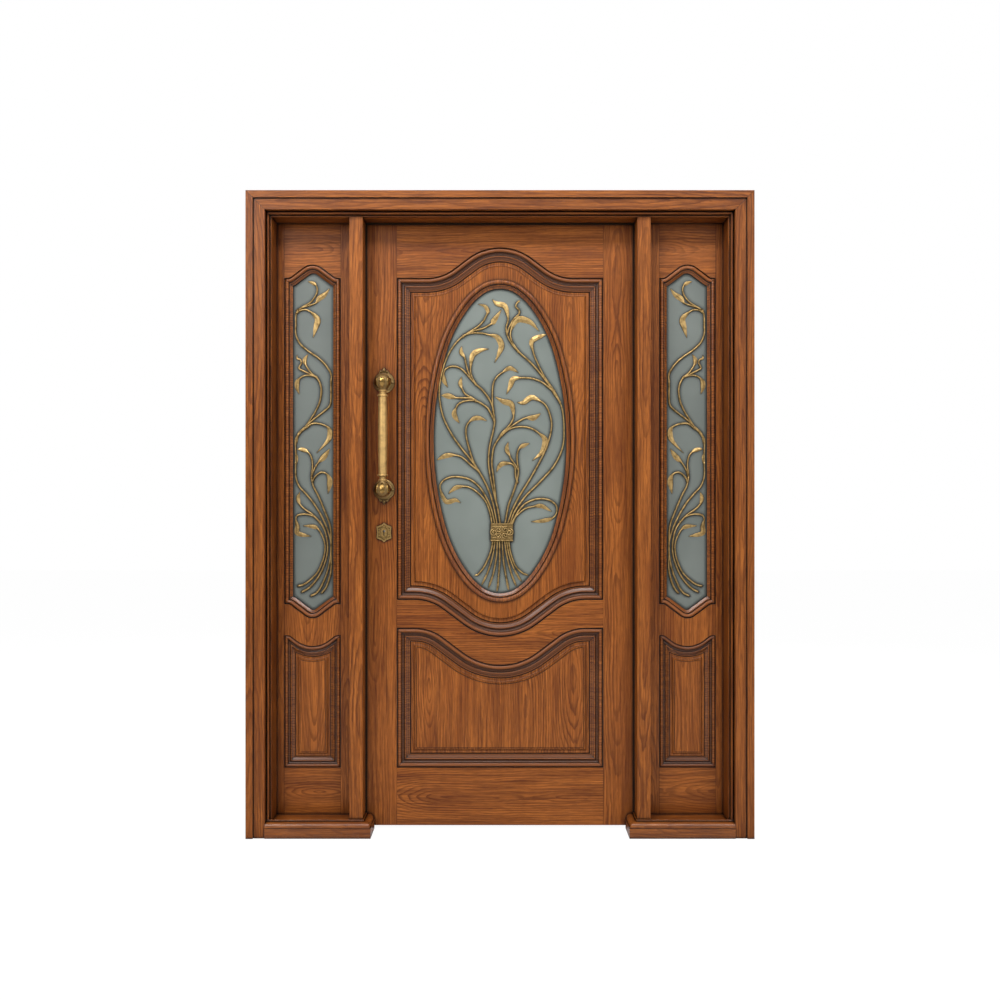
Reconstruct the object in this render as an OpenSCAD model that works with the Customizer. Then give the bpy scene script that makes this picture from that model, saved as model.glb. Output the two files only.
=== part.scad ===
// Panelled entrance door: a hinged wooden leaf with an oval light between two
// fixed sidelights, in a moulded frame, with wrought brass vines on the glass.
// X runs to the right as seen from outside, Y runs indoors and Z runs up.
// The origin is on the floor, midway between the mullions, in the plane of
// the leaf's outer face. Left and right are as seen from outside.

/* [Doorway] */
// Daylight width between the two mullions
door_w = 944; // [860:2:1040]
// Height of the daylight opening from the floor
door_h = 2124; // [2104:2:2240]
// Daylight width between a jamb and its mullion
side_w = 267; // [257:1:330]

/* [Frame] */
// Width of a jamb and of the head, seen from the front
jamb_w = 81; // [78:1:110]
// Depth of jambs, head and mullions
jamb_d = 137; // [120:1:170]
// Width of a mullion
mullion_w = 45; // [42:1:70]
// Depth of the stop that the leaf closes against
stop_w = 12; // [10:1:16]
// Depth of the jamb rebate that holds a sidelight
side_stop_w = 16; // [8:1:24]
// Thickness of the casing in front of the jambs
casing_t = 38; // [30:1:50]
// Height of a sill's flat top
sill_h = 48; // [44:1:60]
// Depth of the moulded edge along a sill's front and end
sill_edge = 31; // [29:0.5:32]
// How far a sill runs past the mullion into the doorway
sill_run = 31.4; // [31:0.1:40]

/* [Leaf] */
// Thickness of the leaf and of the sidelights
leaf_t = 50; // [46:1:60]
// Gap between the leaf and the frame at its edges
leaf_gap = 3; // [2:0.5:4]
// Gap under the leaf
floor_gap = 10; // [5:1:20]
// Width of a stile
stile_w = 118; // [100:1:140]
// Height of the bottom rail
bottom_rail_h = 202; // [160:1:240]
// Height of the lower panel's opening at its sides
lower_h = 491; // [440:1:540]
// Height of the lock rail
lock_rail_h = 98; // [80:1:130]
// Height of the top rail at its ends
top_rail_h = 201; // [180:1:230]

/* [Arches] */
// Rise of the upper panel's arch
arch_rise = 107; // [88:1:120]
// Half the width of the arch
arch_span = 258; // [240:1:285]
// Radius where the arch springs
arch_root_r = 160; // [120:5:200]
// Drop of the curved lock rail
dip_drop = 130; // [104:1:140]
// Half the width of the curved lock rail's dip
dip_span = 300; // [285:1:315]
// Radius where the dip begins
dip_root_r = 165; // [130:5:200]
// Rise of a sidelight's arch
side_rise = 47; // [34:1:50]
// Drop of the curve under a sidelight's glass
side_drop = 50; // [34:1:52]
// Drop of the curve over a sidelight's panel
side_panel_drop = 38; // [32:1:45]
// Half the width of a sidelight's curves
side_span = 88; // [86:1:92]
// Radius where a sidelight's curves begin
side_root_r = 20; // [16:1:24]

/* [Oval light] */
// Width of the oval over its moulding
oval_w = 529; // [490:1:540]
// Distance from the oval to the opening's edge, above and below it
oval_room = 116.5; // [112:0.5:150]
// Height of the oval's centre above the middle of its panel
oval_lift = 5; // [0:1:15]
// Radius of the oval between its end and its shoulder
oval_shoulder_r = 270; // [240:10:300]
// Radius of the oval between its shoulder and its flank
oval_flank_r = 520; // [480:10:560]

/* [Sidelights] */
// Width of a sidelight's stile
side_stile_w = 42; // [38:1:44]
// Height of a sidelight's bottom rail
side_bottom_h = 164; // [130:1:200]
// Height of a sidelight's lower panel at its sides
side_panel_h = 465; // [420:1:500]
// Height of a sidelight's middle rail at its sides
side_mid_h = 109; // [104:1:140]
// Height of a sidelight's top rail at its ends
side_top_rail_h = 204; // [190:1:240]
// Size of a sidelight's panel mouldings against the leaf's
side_scale = 0.8; // [0.7:0.02:0.84]

/* [Glass and ironwork] */
// Thickness of the glass
glass_t = 12; // [8:1:14]
// Thickness of a vine's stem
stem_t = 6.4; // [5:0.2:7]
// Width of the widest leaf of a vine
vine_leaf_w = 24; // [16:1:28]

/* [Joinery] */
// Thickness of a tenon
tenon_t = 16; // [12:1:20]
// Length of a tenon in the leaf
tenon_l = 45; // [30:1:60]
// Length of a tenon in a sidelight
side_tenon_l = 24; // [15:1:28]

/* [Hinges] */
// Height of a hinge
hinge_h = 120; // [100:5:150]
// Thickness of a hinge plate
hinge_t = 3; // [2:0.5:3.5]
// Radius of a hinge's knuckles
knuckle_r = 7; // [6:0.5:8]
// Radius of a hinge pin
pin_r = 4; // [3:0.5:4.5]
// Height of the lowest hinge's middle above the floor
hinge_low_z = 250; // [180:5:350]
// Distance from the top of the leaf to the highest hinge's middle
hinge_drop = 253; // [180:1:350]

/* [Lock] */
// Height of the keyhole above the floor
lock_z = 1038; // [1000:1:1070]
// Distance from the daylight edge to the keyhole and the pulls
backset = 65; // [60:1:75]
// Height of the bolt
bolt_h = 34; // [28:1:40]
// Thickness of the bolt
bolt_t = 12; // [10:1:13]
// Travel of the bolt
bolt_throw = 20; // [15:1:22]
// Thickness of the lock case
case_t = 18; // [16:1:20]

/* [Pulls] */
// Height of the lower fixing of a pull
pull_z = 1188; // [1175:1:1240]
// Distance between a pull's two fixings
pull_span = 376; // [300:1:450]
// Distance from the leaf's face to the axis of the grip
pull_reach = 47.5; // [42:0.5:60]
// Radius of a pull's end knob
knob_r = 27.5; // [22:0.5:30]
// Radius of the grip at its middle
grip_r = 16.4; // [13:0.2:18]
// Radius of a pull's rose
rose_r = 36.5; // [30:0.5:42]

/* [Hidden] */

$fn = 96;

// Colours
OAK = "#9c5f35";
OAK_DARK = "#7f4826";
PANE = "#8b9a98";
BRASS = "#b5975a";
STEEL = "#8f8f8c";
SEAL = "#2a2522";

// Small clearances
fit = 0.15;        // between pieces of joinery
mitre_gap = 0.2;   // between the two halves of a mitred corner
bolt_play = 0.3;   // round the sliding bolt
pin_play = 0.05;   // round a hinge pin and a screw

// Places that the pieces share
door_x = door_w / 2;                       // daylight edge of a mullion
mullion_x = door_x + mullion_w;            // outer face of a mullion
jamb_x = mullion_x + side_w;               // daylight face of a jamb
frame_x = jamb_x + jamb_w;                 // outer face of a jamb
frame_h = door_h + jamb_w;                 // top of the frame
front = jamb_d - leaf_t;                   // front of the jambs, ahead of the leaf
rebate_x = door_x + stop_w;                // back of the leaf's rebate
leaf_x = rebate_x - leaf_gap;              // edge of the leaf
leaf_top = door_h + stop_w - leaf_gap;
stop_back = 3;                             // gap that the seal fills
side_out_x = jamb_x + side_stop_w;         // outer edge of a sidelight
side_top = door_h + stop_w;
side_unit_w = side_out_x - mullion_x;
side_x = (side_out_x + mullion_x) / 2;     // centre line of a sidelight

// Sections of the mouldings, in the leaf's lay-flat frame: u runs in from the
// edge of the opening and the height is measured from the leaf's outer face.
mould_w = 46;       // width of the leaf's panel moulding
tongue_h = 18;      // depth of the panel's tongue under the leaf's face
field_start = 66;   // where the upper panel's raised field begins
low_field = 70;     // where the lower panel's field begins
field_h = 5;        // depth of the upper field under the leaf's face
low_field_h = 4;    // depth of the lower field
light_w = 28;       // width of a sidelight's glass moulding
oval_ring_w = 30;   // width of the oval's moulding
oval_hole = 10.2;   // from the oval's outer edge to the hole in the panel
glass_lap = 12;     // from the oval moulding's outer edge to its glass
side_glass_in = 3;  // from the opening in a sidelight to its glass
glass_h = (leaf_t - glass_t) / 2;
mid = leaf_t / 2;

// An edge curve is [half span, rise, root radius, crown radius]. A positive
// rise swells out of the opening and a negative one dips into it. All the
// curves have the slope of a 3-4-5 triangle on their straight run.
SLOPE = asin(0.6);
function edge(span, rise, root_r) =
  [span, rise, root_r, 3 * span - 4 * abs(rise) - root_r];
FLAT = [0, 0, 0, 0];
ARCH = edge(arch_span, arch_rise, arch_root_r);
DIP_OUT = edge(dip_span, dip_drop, dip_root_r);
DIP_IN = edge(dip_span, -dip_drop, dip_root_r);
SIDE_ARCH = edge(side_span, side_rise, side_root_r);
SIDE_DIP_OUT = edge(side_span, side_drop, side_root_r);
SIDE_DIP_IN = edge(side_span, -side_panel_drop, side_root_r);

// An opening is [half width, bottom, top, top curve, bottom curve].
lower_z0 = floor_gap + bottom_rail_h;
lower_z1 = lower_z0 + lower_h;
upper_z0 = lower_z1 + lock_rail_h;
upper_z1 = leaf_top - top_rail_h;
upper_h = upper_z1 - upper_z0;
open_x = leaf_x - stile_w;
UPPER = [open_x, upper_z0, upper_z1, ARCH, DIP_OUT];
LOWER = [open_x, lower_z0, lower_z1, DIP_IN, FLAT];
side_z0 = sill_h + side_bottom_h;
side_z1 = side_z0 + side_panel_h;
side_z2 = side_z1 + side_mid_h;
side_z3 = side_top - side_top_rail_h;
side_glass_h = side_z3 - side_z2;
side_open_x = side_unit_w / 2 - side_stile_w;
SIDE_GLASS = [side_open_x, side_z2, side_z3, SIDE_ARCH, SIDE_DIP_OUT];
SIDE_PANEL = [side_open_x, side_z0, side_z1, SIDE_DIP_IN, FLAT];
FRAME = [frame_x, 0, frame_h, FLAT, FLAT];

// Height of the edge's inset line over the shoulder, at x from the middle
function edge_line(e, x, u) =
  let (k = sign(e[1]), r1 = e[2] + k * u)
  k * 0.2 * e[2] - 0.8 * u + k * 0.75 * (e[0] - 0.6 * r1 - x);
function edge_y(e, x, u) =
  e[1] == 0 ? -u :
  let (
    k = sign(e[1]), r1 = e[2] + k * u, r2 = e[3] - k * u,
    x1 = e[0] - 0.6 * r1, x2 = 0.6 * r2
  )
  x <= x2 ? k * (abs(e[1]) - e[3]) + k * sqrt(r2 * r2 - x * x) :
  r1 < 0 ? min(-u, edge_line(e, x, u)) :
  x >= e[0] ? -u :
  x >= x1 ? k * e[2] - k * sqrt(max(0, r1 * r1 - pow(e[0] - x, 2))) :
  edge_line(e, x, u);

// Points of the edge's inset line, from the right corner to the left one
ARC_STEPS = 12;
function half_edge(corner, e, u) =
  let (
    k = sign(e[1]), r1 = e[2] + k * u, r2 = e[3] - k * u,
    root = [for (i = [0 : ARC_STEPS])
      e[0] - r1 * sin(SLOPE * i / ARC_STEPS)],
    crown = [for (i = [ARC_STEPS : -1 : 1]) r2 * sin(SLOPE * i / ARC_STEPS)],
    xs = concat(r1 > 0 ? root : [], crown)
  )
  concat(
    [[corner, edge_y(e, corner, u)]],
    [for (x = xs) if (x < corner - 0.5) [x, edge_y(e, x, u)]]
  );
function edge_points(corner, e, u) =
  e[1] == 0 ? [[corner, -u], [-corner, -u]] :
  let (half = half_edge(corner, e, u), n = len(half))
  concat(
    half,
    [[0, edge_y(e, 0, u)]],
    [for (i = [n - 1 : -1 : 0]) [-half[i][0], half[i][1]]]
  );

// Outline of an opening, inset by u at its ends and by v at its sides
function outline(o, u, v) = concat(
  [for (p = edge_points(o[0] - v, o[3], u)) [p[0], o[2] + p[1]]],
  [for (p = edge_points(o[0] - v, o[4], u)) [-p[0], o[1] - p[1]]]
);

// The path of an edge: steps of [straight run, radius, turn]
function edge_path(w, e) =
  e[1] == 0 ? [[2 * w, 0, 0]] :
  let (k = sign(e[1]), run = 3 * abs(e[1]) - e[0])
  [
    [w - e[0], 0, 0], [0, e[2], -k * SLOPE], [run, 0, 0],
    [0, e[3], 2 * k * SLOPE],
    [run, 0, 0], [0, e[2], -k * SLOPE], [w - e[0], 0, 0]
  ];

// Draws a section, its first child, along a path in jointed lengths. The
// inside lies on the left. A zoned path keeps what is in its second child.
module follow(path, at, heading, zoned = false, i = 0) {
  if (i < len(path)) {
    run = path[i][0];
    r = path[i][1];
    turn = path[i][2];
    side = turn < 0 ? -1 : 1;
    centre = at + side * r * [-sin(heading), cos(heading)];
    out = heading - side * 90 + turn;
    next = turn == 0
      ? at + run * [cos(heading), sin(heading)]
      : centre + r * [cos(out), sin(out)];
    if (zoned)
      intersection() {
        length_of(run, r, turn, at, centre, heading) children(0);
        children(1);
      }
    else
      length_of(run, r, turn, at, centre, heading) children(0);
    follow(path, next, heading + turn, zoned, i + 1) {
      children(0);
      children(1);
    }
  }
}

// One length of a moulding: straight, or turned about a centre
joint = 0.03;
module length_of(run, r, turn, at, centre, heading) {
  trim = turn == 0 ? 0 : 57.3 * joint / r;
  if (turn == 0)
    translate([at[0], at[1], 0]) rotate([0, 0, heading + 90])
      rotate([90, 0, 0]) translate([0, 0, joint])
        linear_extrude(run - 2 * joint) children();
  else if (turn > 0)
    translate([centre[0], centre[1], 0]) rotate([0, 0, heading - 90 + trim])
      rotate_extrude(angle = turn - 2 * trim) towards_axis(r) children();
  else
    translate([centre[0], centre[1], 0])
      rotate([0, 0, heading + 90 + turn + trim])
        rotate_extrude(angle = -turn - 2 * trim)
          translate([r, 0]) children();
}

// Faces a section to the axis, and cuts off what would pass the axis
module towards_axis(r) {
  if (r > 80)
    translate([r, 0]) mirror([1, 0]) children();
  else
    intersection() {
      translate([r, 0]) mirror([1, 0]) children();
      translate([0, -100]) square([r + 100, 200]);
    }
}

// The zone that a top piece keeps between its two mitres
MITRE_STEPS = 8;
module mitre_zone(w, e, reach) {
  n = w - e[0] >= reach || e[1] == 0 ? 1 : MITRE_STEPS;
  right = [for (i = [0 : n]) let (u = i * reach / n)
    [w - u, edge_y(e, w - u, u)]];
  deep = -abs(e[1]) - 2 * reach;
  high = abs(e[1]) + 10;
  polygon(concat(
    [[-w - 1, high], [-w - 1, 1]],
    [for (p = right) [-p[0], p[1]]],
    [[reach - w, deep], [w - reach, deep]],
    [for (i = [n : -1 : 0]) right[i]],
    [[w + 1, 1], [w + 1, high]]
  ));
}

// The top or bottom piece of a frame of mouldings, mitred at both ends
module end_piece(o, width, bottom = false) {
  e = bottom ? o[4] : o[3];
  translate([0, bottom ? o[1] : o[2], 0])
    rotate([0, 0, bottom ? 180 : 0])
      follow(edge_path(o[0], e), [o[0], 0], 180, true) {
        children();
        translate([0, 0, -200]) linear_extrude(400)
          mitre_zone(o[0], e, width + 1);
      }
}

// The left piece of the same frame, or the right one
module side_piece(o, width, right = false, gap = 0, bottom_mitre = true) {
  mirror([right ? 1 : 0, 0, 0])
    difference() {
      translate([-o[0], o[2], 0]) rotate([90, 0, 0])
        linear_extrude(o[2] - o[1]) children();
      translate([0, o[2] - gap, -200])
        linear_extrude(400) mitre_zone(o[0], o[3], width + 1);
      if (bottom_mitre)
        translate([0, o[1] + gap, -200]) rotate([0, 0, 180])
          linear_extrude(400) mitre_zone(o[0], o[4], width + 1);
    }
}

// Four mitred mouldings round an opening. A strip inside them ties their
// lengths together: it runs from u0 to u1 and from h0 to h1.
module tied_frame(o, width, u0, u1, h0, h1) {
  moulding_frame(o, width) children();
  translate([0, 0, h0]) linear_extrude(h1 - h0) difference() {
    polygon(outline(o, u0, u0));
    polygon(outline(o, u1, u1));
  }
}
module moulding_frame(o, width) {
  end_piece(o, width) children();
  end_piece(o, width, true) children();
  side_piece(o, width, false, mitre_gap) children();
  side_piece(o, width, true, mitre_gap) children();
}

// Lay-flat drawings stand up with their height towards the viewer
module stand() {
  rotate([90, 0, 0]) children();
}

// The same drawing on the front and on the back of the leaf
module both_faces() {
  children();
  translate([0, 0, -leaf_t]) mirror([0, 0, 1]) children();
}

// Draws the left side's piece, or its mirror image on the right
module on_side(right) {
  if (right) mirror([1, 0, 0]) children();
  else children();
}

// Section of a panel moulding: bead, cove, small bead and sloping lip
module panel_moulding_section(k = 1) {
  difference() {
    polygon(k * [
      [0, -tongue_h], [mould_w, -tongue_h], [mould_w, -11.5], [42, -11.5],
      [42, -13], [33, -8.5], [33, -5], [15.5, -5], [15.5, -3], [5, -3],
      [5, -7], [0, -7]
    ]);
    translate(k * [22.4, -2.2]) circle(k * 6.2);
  }
  translate(k * [10.2, -1.9]) circle(k * 6.4);
  translate(k * [30.4, -5.4]) circle(k * 2.9);
}

// A section that is the same on the front and on the back
function front_and_back(p) = concat(
  [for (q = p) [q[0], -leaf_t - q[1]]],
  [for (i = [len(p) - 1 : -1 : 0]) p[i]]
);

// Section of the upper panel's border: tongue, lip and cove
module upper_edge_section() {
  difference() {
    polygon(front_and_back([
      [2, -tongue_h], [50, -tongue_h], [50, -12.5], [57, -12.5],
      [57, -field_h], [field_start, -field_h]
    ]));
    for (h = [-4, 4 - leaf_t]) translate([57, h]) circle(9);
  }
}

// Section of a lower panel's border, with a fillet before the field
module lower_edge_section(k = 1) {
  difference() {
    polygon(front_and_back(k * [
      [2, -tongue_h], [50, -tongue_h], [50, -12.5], [57, -12.5],
      [57, -7.5], [low_field, -7.5]
    ]));
    for (h = [-6.5 * k, 6.5 * k - leaf_t])
      translate([56.5 * k, h]) circle(k * 6.8);
  }
}

// A raised panel: a flat field on a core, in a mitred border
module raised_panel(o, start, field, core) {
  moulding_frame(o, start) children();
  translate([0, 0, field - leaf_t]) linear_extrude(leaf_t - 2 * field)
    polygon(outline(o, start + fit, start + fit));
  translate([0, 0, core - leaf_t]) linear_extrude(leaf_t - 2 * core)
    polygon(outline(o, 5, 5));
}

// Section of a sidelight's glass moulding
module light_section() {
  polygon([
    [0, -glass_h], [light_w, -glass_h], [light_w, -13], [22, -9],
    [22, -7], [17, -7], [14, -6], [14, -3], [4.6, -3], [4.6, -7],
    [0, -7]
  ]);
  translate([9.7, -1.8]) circle(6);
  translate([19.4, -6.8]) circle(2.6);
}

// Section of the oval's moulding, which laps over the panel's field
module oval_section() {
  polygon([
    [0, -field_h], [oval_hole + 0.4, -field_h],
    [oval_hole + 0.4, -glass_h], [oval_ring_w, -glass_h],
    [oval_ring_w, -13], [22, -8.5], [22, -6.5], [17, -6.5],
    [15, -5.5], [14, -2.5], [3, -2.5], [3, -4], [0, -4]
  ]);
  intersection() {
    translate([8.6, -1.6]) circle(7.2);
    translate([0, -4]) square(16);
  }
  translate([19.4, -6.2]) circle(2.7);
}

// The oval is drawn with four radii in each quarter. They meet on lines at
// the slopes of 7-24-25 and 3-4-5 triangles.
oval_h = upper_h + arch_rise + dip_drop - 2 * oval_room;
oval_a = oval_w / 2;
oval_b = oval_h / 2;
flank_r = oval_flank_r * oval_b / 567.5;
shoulder_r = oval_shoulder_r * oval_b / 567.5;
oval_end_r = (7 * oval_a - oval_b - 0.8 * flank_r - 1.2 * shoulder_r) / 4;
oval_side_r = 25 * oval_a - 4 * flank_r - 5 * shoulder_r - 15 * oval_end_r;
OVAL_R = [oval_side_r, flank_r, shoulder_r, oval_end_r];
OVAL_T = [0, asin(0.28), asin(0.6), asin(0.8), 90];
OVAL_C = [
  [oval_a - OVAL_R[0], 0],
  [oval_a - OVAL_R[0] + 0.96 * (OVAL_R[0] - OVAL_R[1]),
    0.28 * (OVAL_R[0] - OVAL_R[1])],
  [-0.6 * (OVAL_R[2] - OVAL_R[3]),
    oval_b - OVAL_R[3] - 0.8 * (OVAL_R[2] - OVAL_R[3])],
  [0, oval_b - OVAL_R[3]]
];
oval_z = (upper_z1 + arch_rise + upper_z0 - dip_drop) / 2 + oval_lift;
OVAL_TURNS = [for (k = [0 : 3]) OVAL_T[k + 1] - OVAL_T[k]];
OVAL_PATH = [for (k = [0 : 3]) [0, OVAL_R[k], OVAL_TURNS[k]]];

// Points of the oval's inset line, at each step of the angle from its middle
OVAL_STEPS = [8, 6, 5, 10];
function oval_quarter(u) = [
  for (k = [0 : 3]) for (i = [0 : OVAL_STEPS[k] - 1])
    let (t = OVAL_T[k] + OVAL_TURNS[k] * i / OVAL_STEPS[k])
    OVAL_C[k] + (OVAL_R[k] - u) * [cos(t), sin(t)]
];
function oval_outline(u) =
  let (q = oval_quarter(u), n = len(q), top = [0, oval_b - u])
  concat(
    q, [top],
    [for (i = [n - 1 : -1 : 0]) [-q[i][0], q[i][1]]],
    [for (i = [1 : n - 1]) -q[i]],
    [-top],
    [for (i = [n - 1 : -1 : 1]) [q[i][0], -q[i][1]]]
  );

// Frame timbers. The section's u runs in from the frame's outer edge.
bead_r = 2.5;         // bead along the inner arris of the jambs
casing_flat = 24;     // width of the casing's outer flat
casing_drop = 6;      // step down to its second flat
casing_in = jamb_w - 17.5;   // where the second flat ends
sill_top = sill_h + 9;       // top of the nib along a sill's edge

module jamb_section(rebate) {
  polygon([
    [0, -leaf_t], [jamb_w - rebate, -leaf_t], [jamb_w - rebate, 0],
    [jamb_w, 0], [jamb_w, front - 3.6], [jamb_w - 5, front - 3.6],
    [jamb_w - 5, front - 4], [jamb_w - 6.5, front - 4],
    [jamb_w - 6.5, front], [0, front]
  ]);
  translate([jamb_w - 3, front - 3]) circle(bead_r);
}

module casing_section() {
  translate([0, front]) {
    polygon([
      [0, 0], [casing_in + 10.5, 0], [casing_in + 10.5, 6],
      [casing_in, 6], [casing_in, casing_t - casing_drop],
      [casing_flat + 3, casing_t - casing_drop],
      [casing_flat + 3, casing_t - casing_drop - 2],
      [casing_flat, casing_t - casing_drop - 2],
      [casing_flat, casing_t], [0, casing_t]
    ]);
    translate([casing_in + 5.3, 5.6]) circle(4.7);
  }
}

// Holes through the jambs for the frame's fixings
fix_r = 5;
fix_low = 250;
fix_top = frame_h - 275;
FIX_Z = [fix_low, (fix_low + fix_top) / 2, fix_top];

module jamb(right) {
  color(OAK_DARK) on_side(right)
    difference() {
      stand() side_piece(FRAME, jamb_w, false, mitre_gap, false)
        jamb_section(side_stop_w);
      for (z = FIX_Z)
        translate([-frame_x - 1, mid, z])
          rotate([0, 90, 0]) cylinder(r = fix_r, h = jamb_w + 2);
    }
}

// The stop over the leaf is set back to leave room for the seal
module head_jamb() {
  color(OAK_DARK)
    difference() {
      stand() end_piece(FRAME, jamb_w) jamb_section(stop_w);
      translate([-rebate_x, -stop_back, door_h - 1])
        cube([2 * rebate_x, stop_back, stop_w + 1]);
    }
}

module casing_side(right) {
  color(OAK) on_side(right)
    difference() {
      stand() side_piece(FRAME, jamb_w, false, mitre_gap, false)
        casing_section();
      translate([casing_in - frame_x, -front - casing_t - 1, -1])
        cube([jamb_w, casing_t + 1, sill_top + 1]);
    }
}

module casing_head() {
  color(OAK) stand() end_piece(FRAME, jamb_w) casing_section();
}

module mullion(right) {
  color(OAK) on_side(right)
    difference() {
      union() {
        translate([-mullion_x, -front, sill_h])
          cube([mullion_w, front - stop_back, door_h - sill_h]);
        translate([-mullion_x, -stop_back - 1, sill_h])
          cube([mullion_w - stop_w, stop_back + 1, door_h - sill_h]);
        translate([-mullion_x, 0, sill_h])
          cube([mullion_w - stop_w, leaf_t, side_top - sill_h]);
      }
      if (right) {
        // recesses and screw holes for the hinges, drawn on the left side
        for (z = HINGE_Z) {
          translate([-hinge_x - 0.2 - hinge_t, HINGE_Y0, z - hinge_h / 2])
            cube([hinge_t + 1, leaf_t, hinge_h]);
          for (s = HINGE_SCREWS)
            translate([-hinge_x, s[0], z + s[1]])
              rotate([0, -90, 0]) cylinder(r = screw_r + pin_play, h = screw_l + 1);
        }
      } else {
        translate([-rebate_x - strike_t, mid - strike_w / 2, strike_z0])
          cube([strike_t + 1, strike_w, strike_h]);
        translate([-rebate_x - 22.5, mid - bolt_t / 2 - 1, bolt_z - 1.5])
          cube([23, bolt_t + 2, bolt_h + 3]);
        for (z = STRIKE_SCREWS)
          translate([-rebate_x, mid, z])
            rotate([0, -90, 0]) cylinder(r = screw_r + pin_play, h = screw_l + 1);
      }
    }
}

// Section of a sill: d runs back from its front edge and the height is Z
module sill_section(depth) {
  polygon([
    [0, 0], [depth, 0], [depth, sill_h], [24, sill_h], [24, sill_h - 12],
    [3, sill_h - 12], [3, sill_h - 15], [0, sill_h - 15]
  ]);
  intersection() {
    translate([19, sill_h - 12]) circle(16);
    translate([3, sill_h - 18]) square([21, 30]);
  }
  translate([sill_edge - 5, sill_h - 1]) square([5, 7.5]);
  translate([sill_edge - 2.5, sill_top - 2.5]) circle(2.5);
}

sill_y = -front - casing_t + 2;     // front edge of a sill
sill_x = door_x - sill_run;         // end of a sill in the doorway
sill_out = frame_x - casing_in;     // end of a sill at the casing
turn_d = sill_edge + 25;            // reach of the corner's mitre

module sill(right) {
  color(OAK) on_side(right)
    intersection() {
      union() {
        intersection() {
          translate([-sill_out, sill_y, 0])
            rotate([90, 0, 90]) linear_extrude(sill_out - sill_x)
              sill_section(leaf_t - sill_y);
          translate([0, 0, -1]) linear_extrude(200) polygon([
            [-sill_out, sill_y], [-sill_x, sill_y],
            [-sill_x - turn_d, sill_y + turn_d], [-sill_x - turn_d, leaf_t],
            [-sill_out, leaf_t]
          ]);
        }
        intersection() {
          translate([-sill_x, leaf_t, 0])
            rotate([90, 0, 0]) linear_extrude(leaf_t - sill_y)
              mirror([1, 0]) sill_section(turn_d);
          translate([0, 0, -1]) linear_extrude(200) polygon([
            [-sill_x, sill_y], [-sill_x, leaf_t],
            [-sill_x - turn_d, leaf_t], [-sill_x - turn_d, sill_y + turn_d]
          ]);
        }
      }
      translate([0, 0, -1]) linear_extrude(200) polygon([
        [-sill_out, sill_y], [-sill_x, sill_y], [-sill_x, -stop_back],
        [-rebate_x, -stop_back], [-rebate_x, leaf_t], [-side_out_x, leaf_t],
        [-side_out_x, 0], [-jamb_x, 0], [-jamb_x, -front],
        [-sill_out, -front]
      ]);
    }
}

// Seal: a strip on the stops, with a lip that shows round the leaf
lip = 5;
module seal_section() {
  polygon([
    [-lip, -lip], [0, -lip], [0, -stop_back], [stop_w - leaf_gap, -stop_back],
    [stop_w - leaf_gap, -0.4], [-lip, -0.4]
  ]);
}
module head_seal(x, from) {
  translate([-x, 0, door_h]) rotate([90, 0, 90]) linear_extrude(2 * x)
    mirror([1, 0]) rotate([0, 0, 90]) intersection() {
      seal_section();
      translate([from, -20]) square([40, 40]);
    }
}
module door_seal() {
  color(SEAL) {
    for (m = [0, 1]) mirror([m, 0, 0])
      translate([door_x, 0, sill_top])
        linear_extrude(door_h - lip - sill_top) seal_section();
    head_seal(leaf_x, 0);
    head_seal(door_x - 0.2, -lip);
  }
}

// Hinges, on the right side. Their pins run clear of the leaf's back face.
hinge_step = (leaf_top - hinge_drop - hinge_low_z) / 2;
HINGE_Z = [for (i = [0 : 2]) hinge_low_z + i * hinge_step];
HINGE_Y0 = 12;
hinge_x = leaf_x + leaf_gap / 2;
hinge_y = leaf_t + knuckle_r + 0.5;
HINGE_SCREWS = [[24, -42], [34, 0], [24, 42]];
screw_r = 2;
screw_l = 26;
head_r = 4.2;
head_t = 2.2;
KNUCKLES = 5;
knuckle_gap = 0.3;

module screw() {
  cylinder(r1 = head_r, r2 = screw_r, h = head_t, $fn = 24);
  translate([0, 0, head_t - 0.01]) cylinder(r = screw_r, h = screw_l - head_t, $fn = 24);
}
module screw_hole(depth) {
  translate([0, 0, -0.01])
    cylinder(r1 = head_r + pin_play, r2 = screw_r + pin_play, h = head_t);
  cylinder(r = screw_r + pin_play, h = depth);
}

// One leaf of a hinge, on the door's side of the pin or on the frame's
module hinge_leaf(door) {
  step = hinge_h / KNUCKLES;
  x0 = door ? -0.2 - hinge_t : 0.2;
  face = door ? -0.2 : 0.2;
  difference() {
    union() {
      translate([x0, HINGE_Y0 - hinge_y, -hinge_h / 2])
        cube([hinge_t, leaf_t - HINGE_Y0, hinge_h]);
      for (i = [door ? 1 : 0 : 2 : KNUCKLES - 1])
        translate([0, 0, i * step - hinge_h / 2 + knuckle_gap / 2]) {
          cylinder(r = knuckle_r, h = step - knuckle_gap);
          translate([x0, leaf_t - hinge_y - 1, 0])
            cube([hinge_t, hinge_y - leaf_t + 1, step - knuckle_gap]);
        }
    }
    translate([0, 0, -hinge_h])
      cylinder(r = pin_r + pin_play, h = 2 * hinge_h);
    for (s = HINGE_SCREWS)
      translate([face, s[0] - hinge_y, s[1]])
        rotate([0, door ? -90 : 90, 0]) screw_hole(10);
  }
}

module hinge_leaves(door) {
  color(BRASS)
    for (z = HINGE_Z) translate([hinge_x, hinge_y, z]) hinge_leaf(door);
}

module hinge_pins() {
  color(BRASS)
    for (z = HINGE_Z) translate([hinge_x, hinge_y, z]) {
      translate([0, 0, -hinge_h / 2 - 1]) cylinder(r = pin_r, h = hinge_h + 2);
      for (m = [0, 1]) mirror([0, 0, m]) {
        translate([0, 0, hinge_h / 2]) cylinder(r = knuckle_r - 0.5, h = 4);
        translate([0, 0, hinge_h / 2 + 6]) sphere(r = 5);
      }
    }
}

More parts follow.
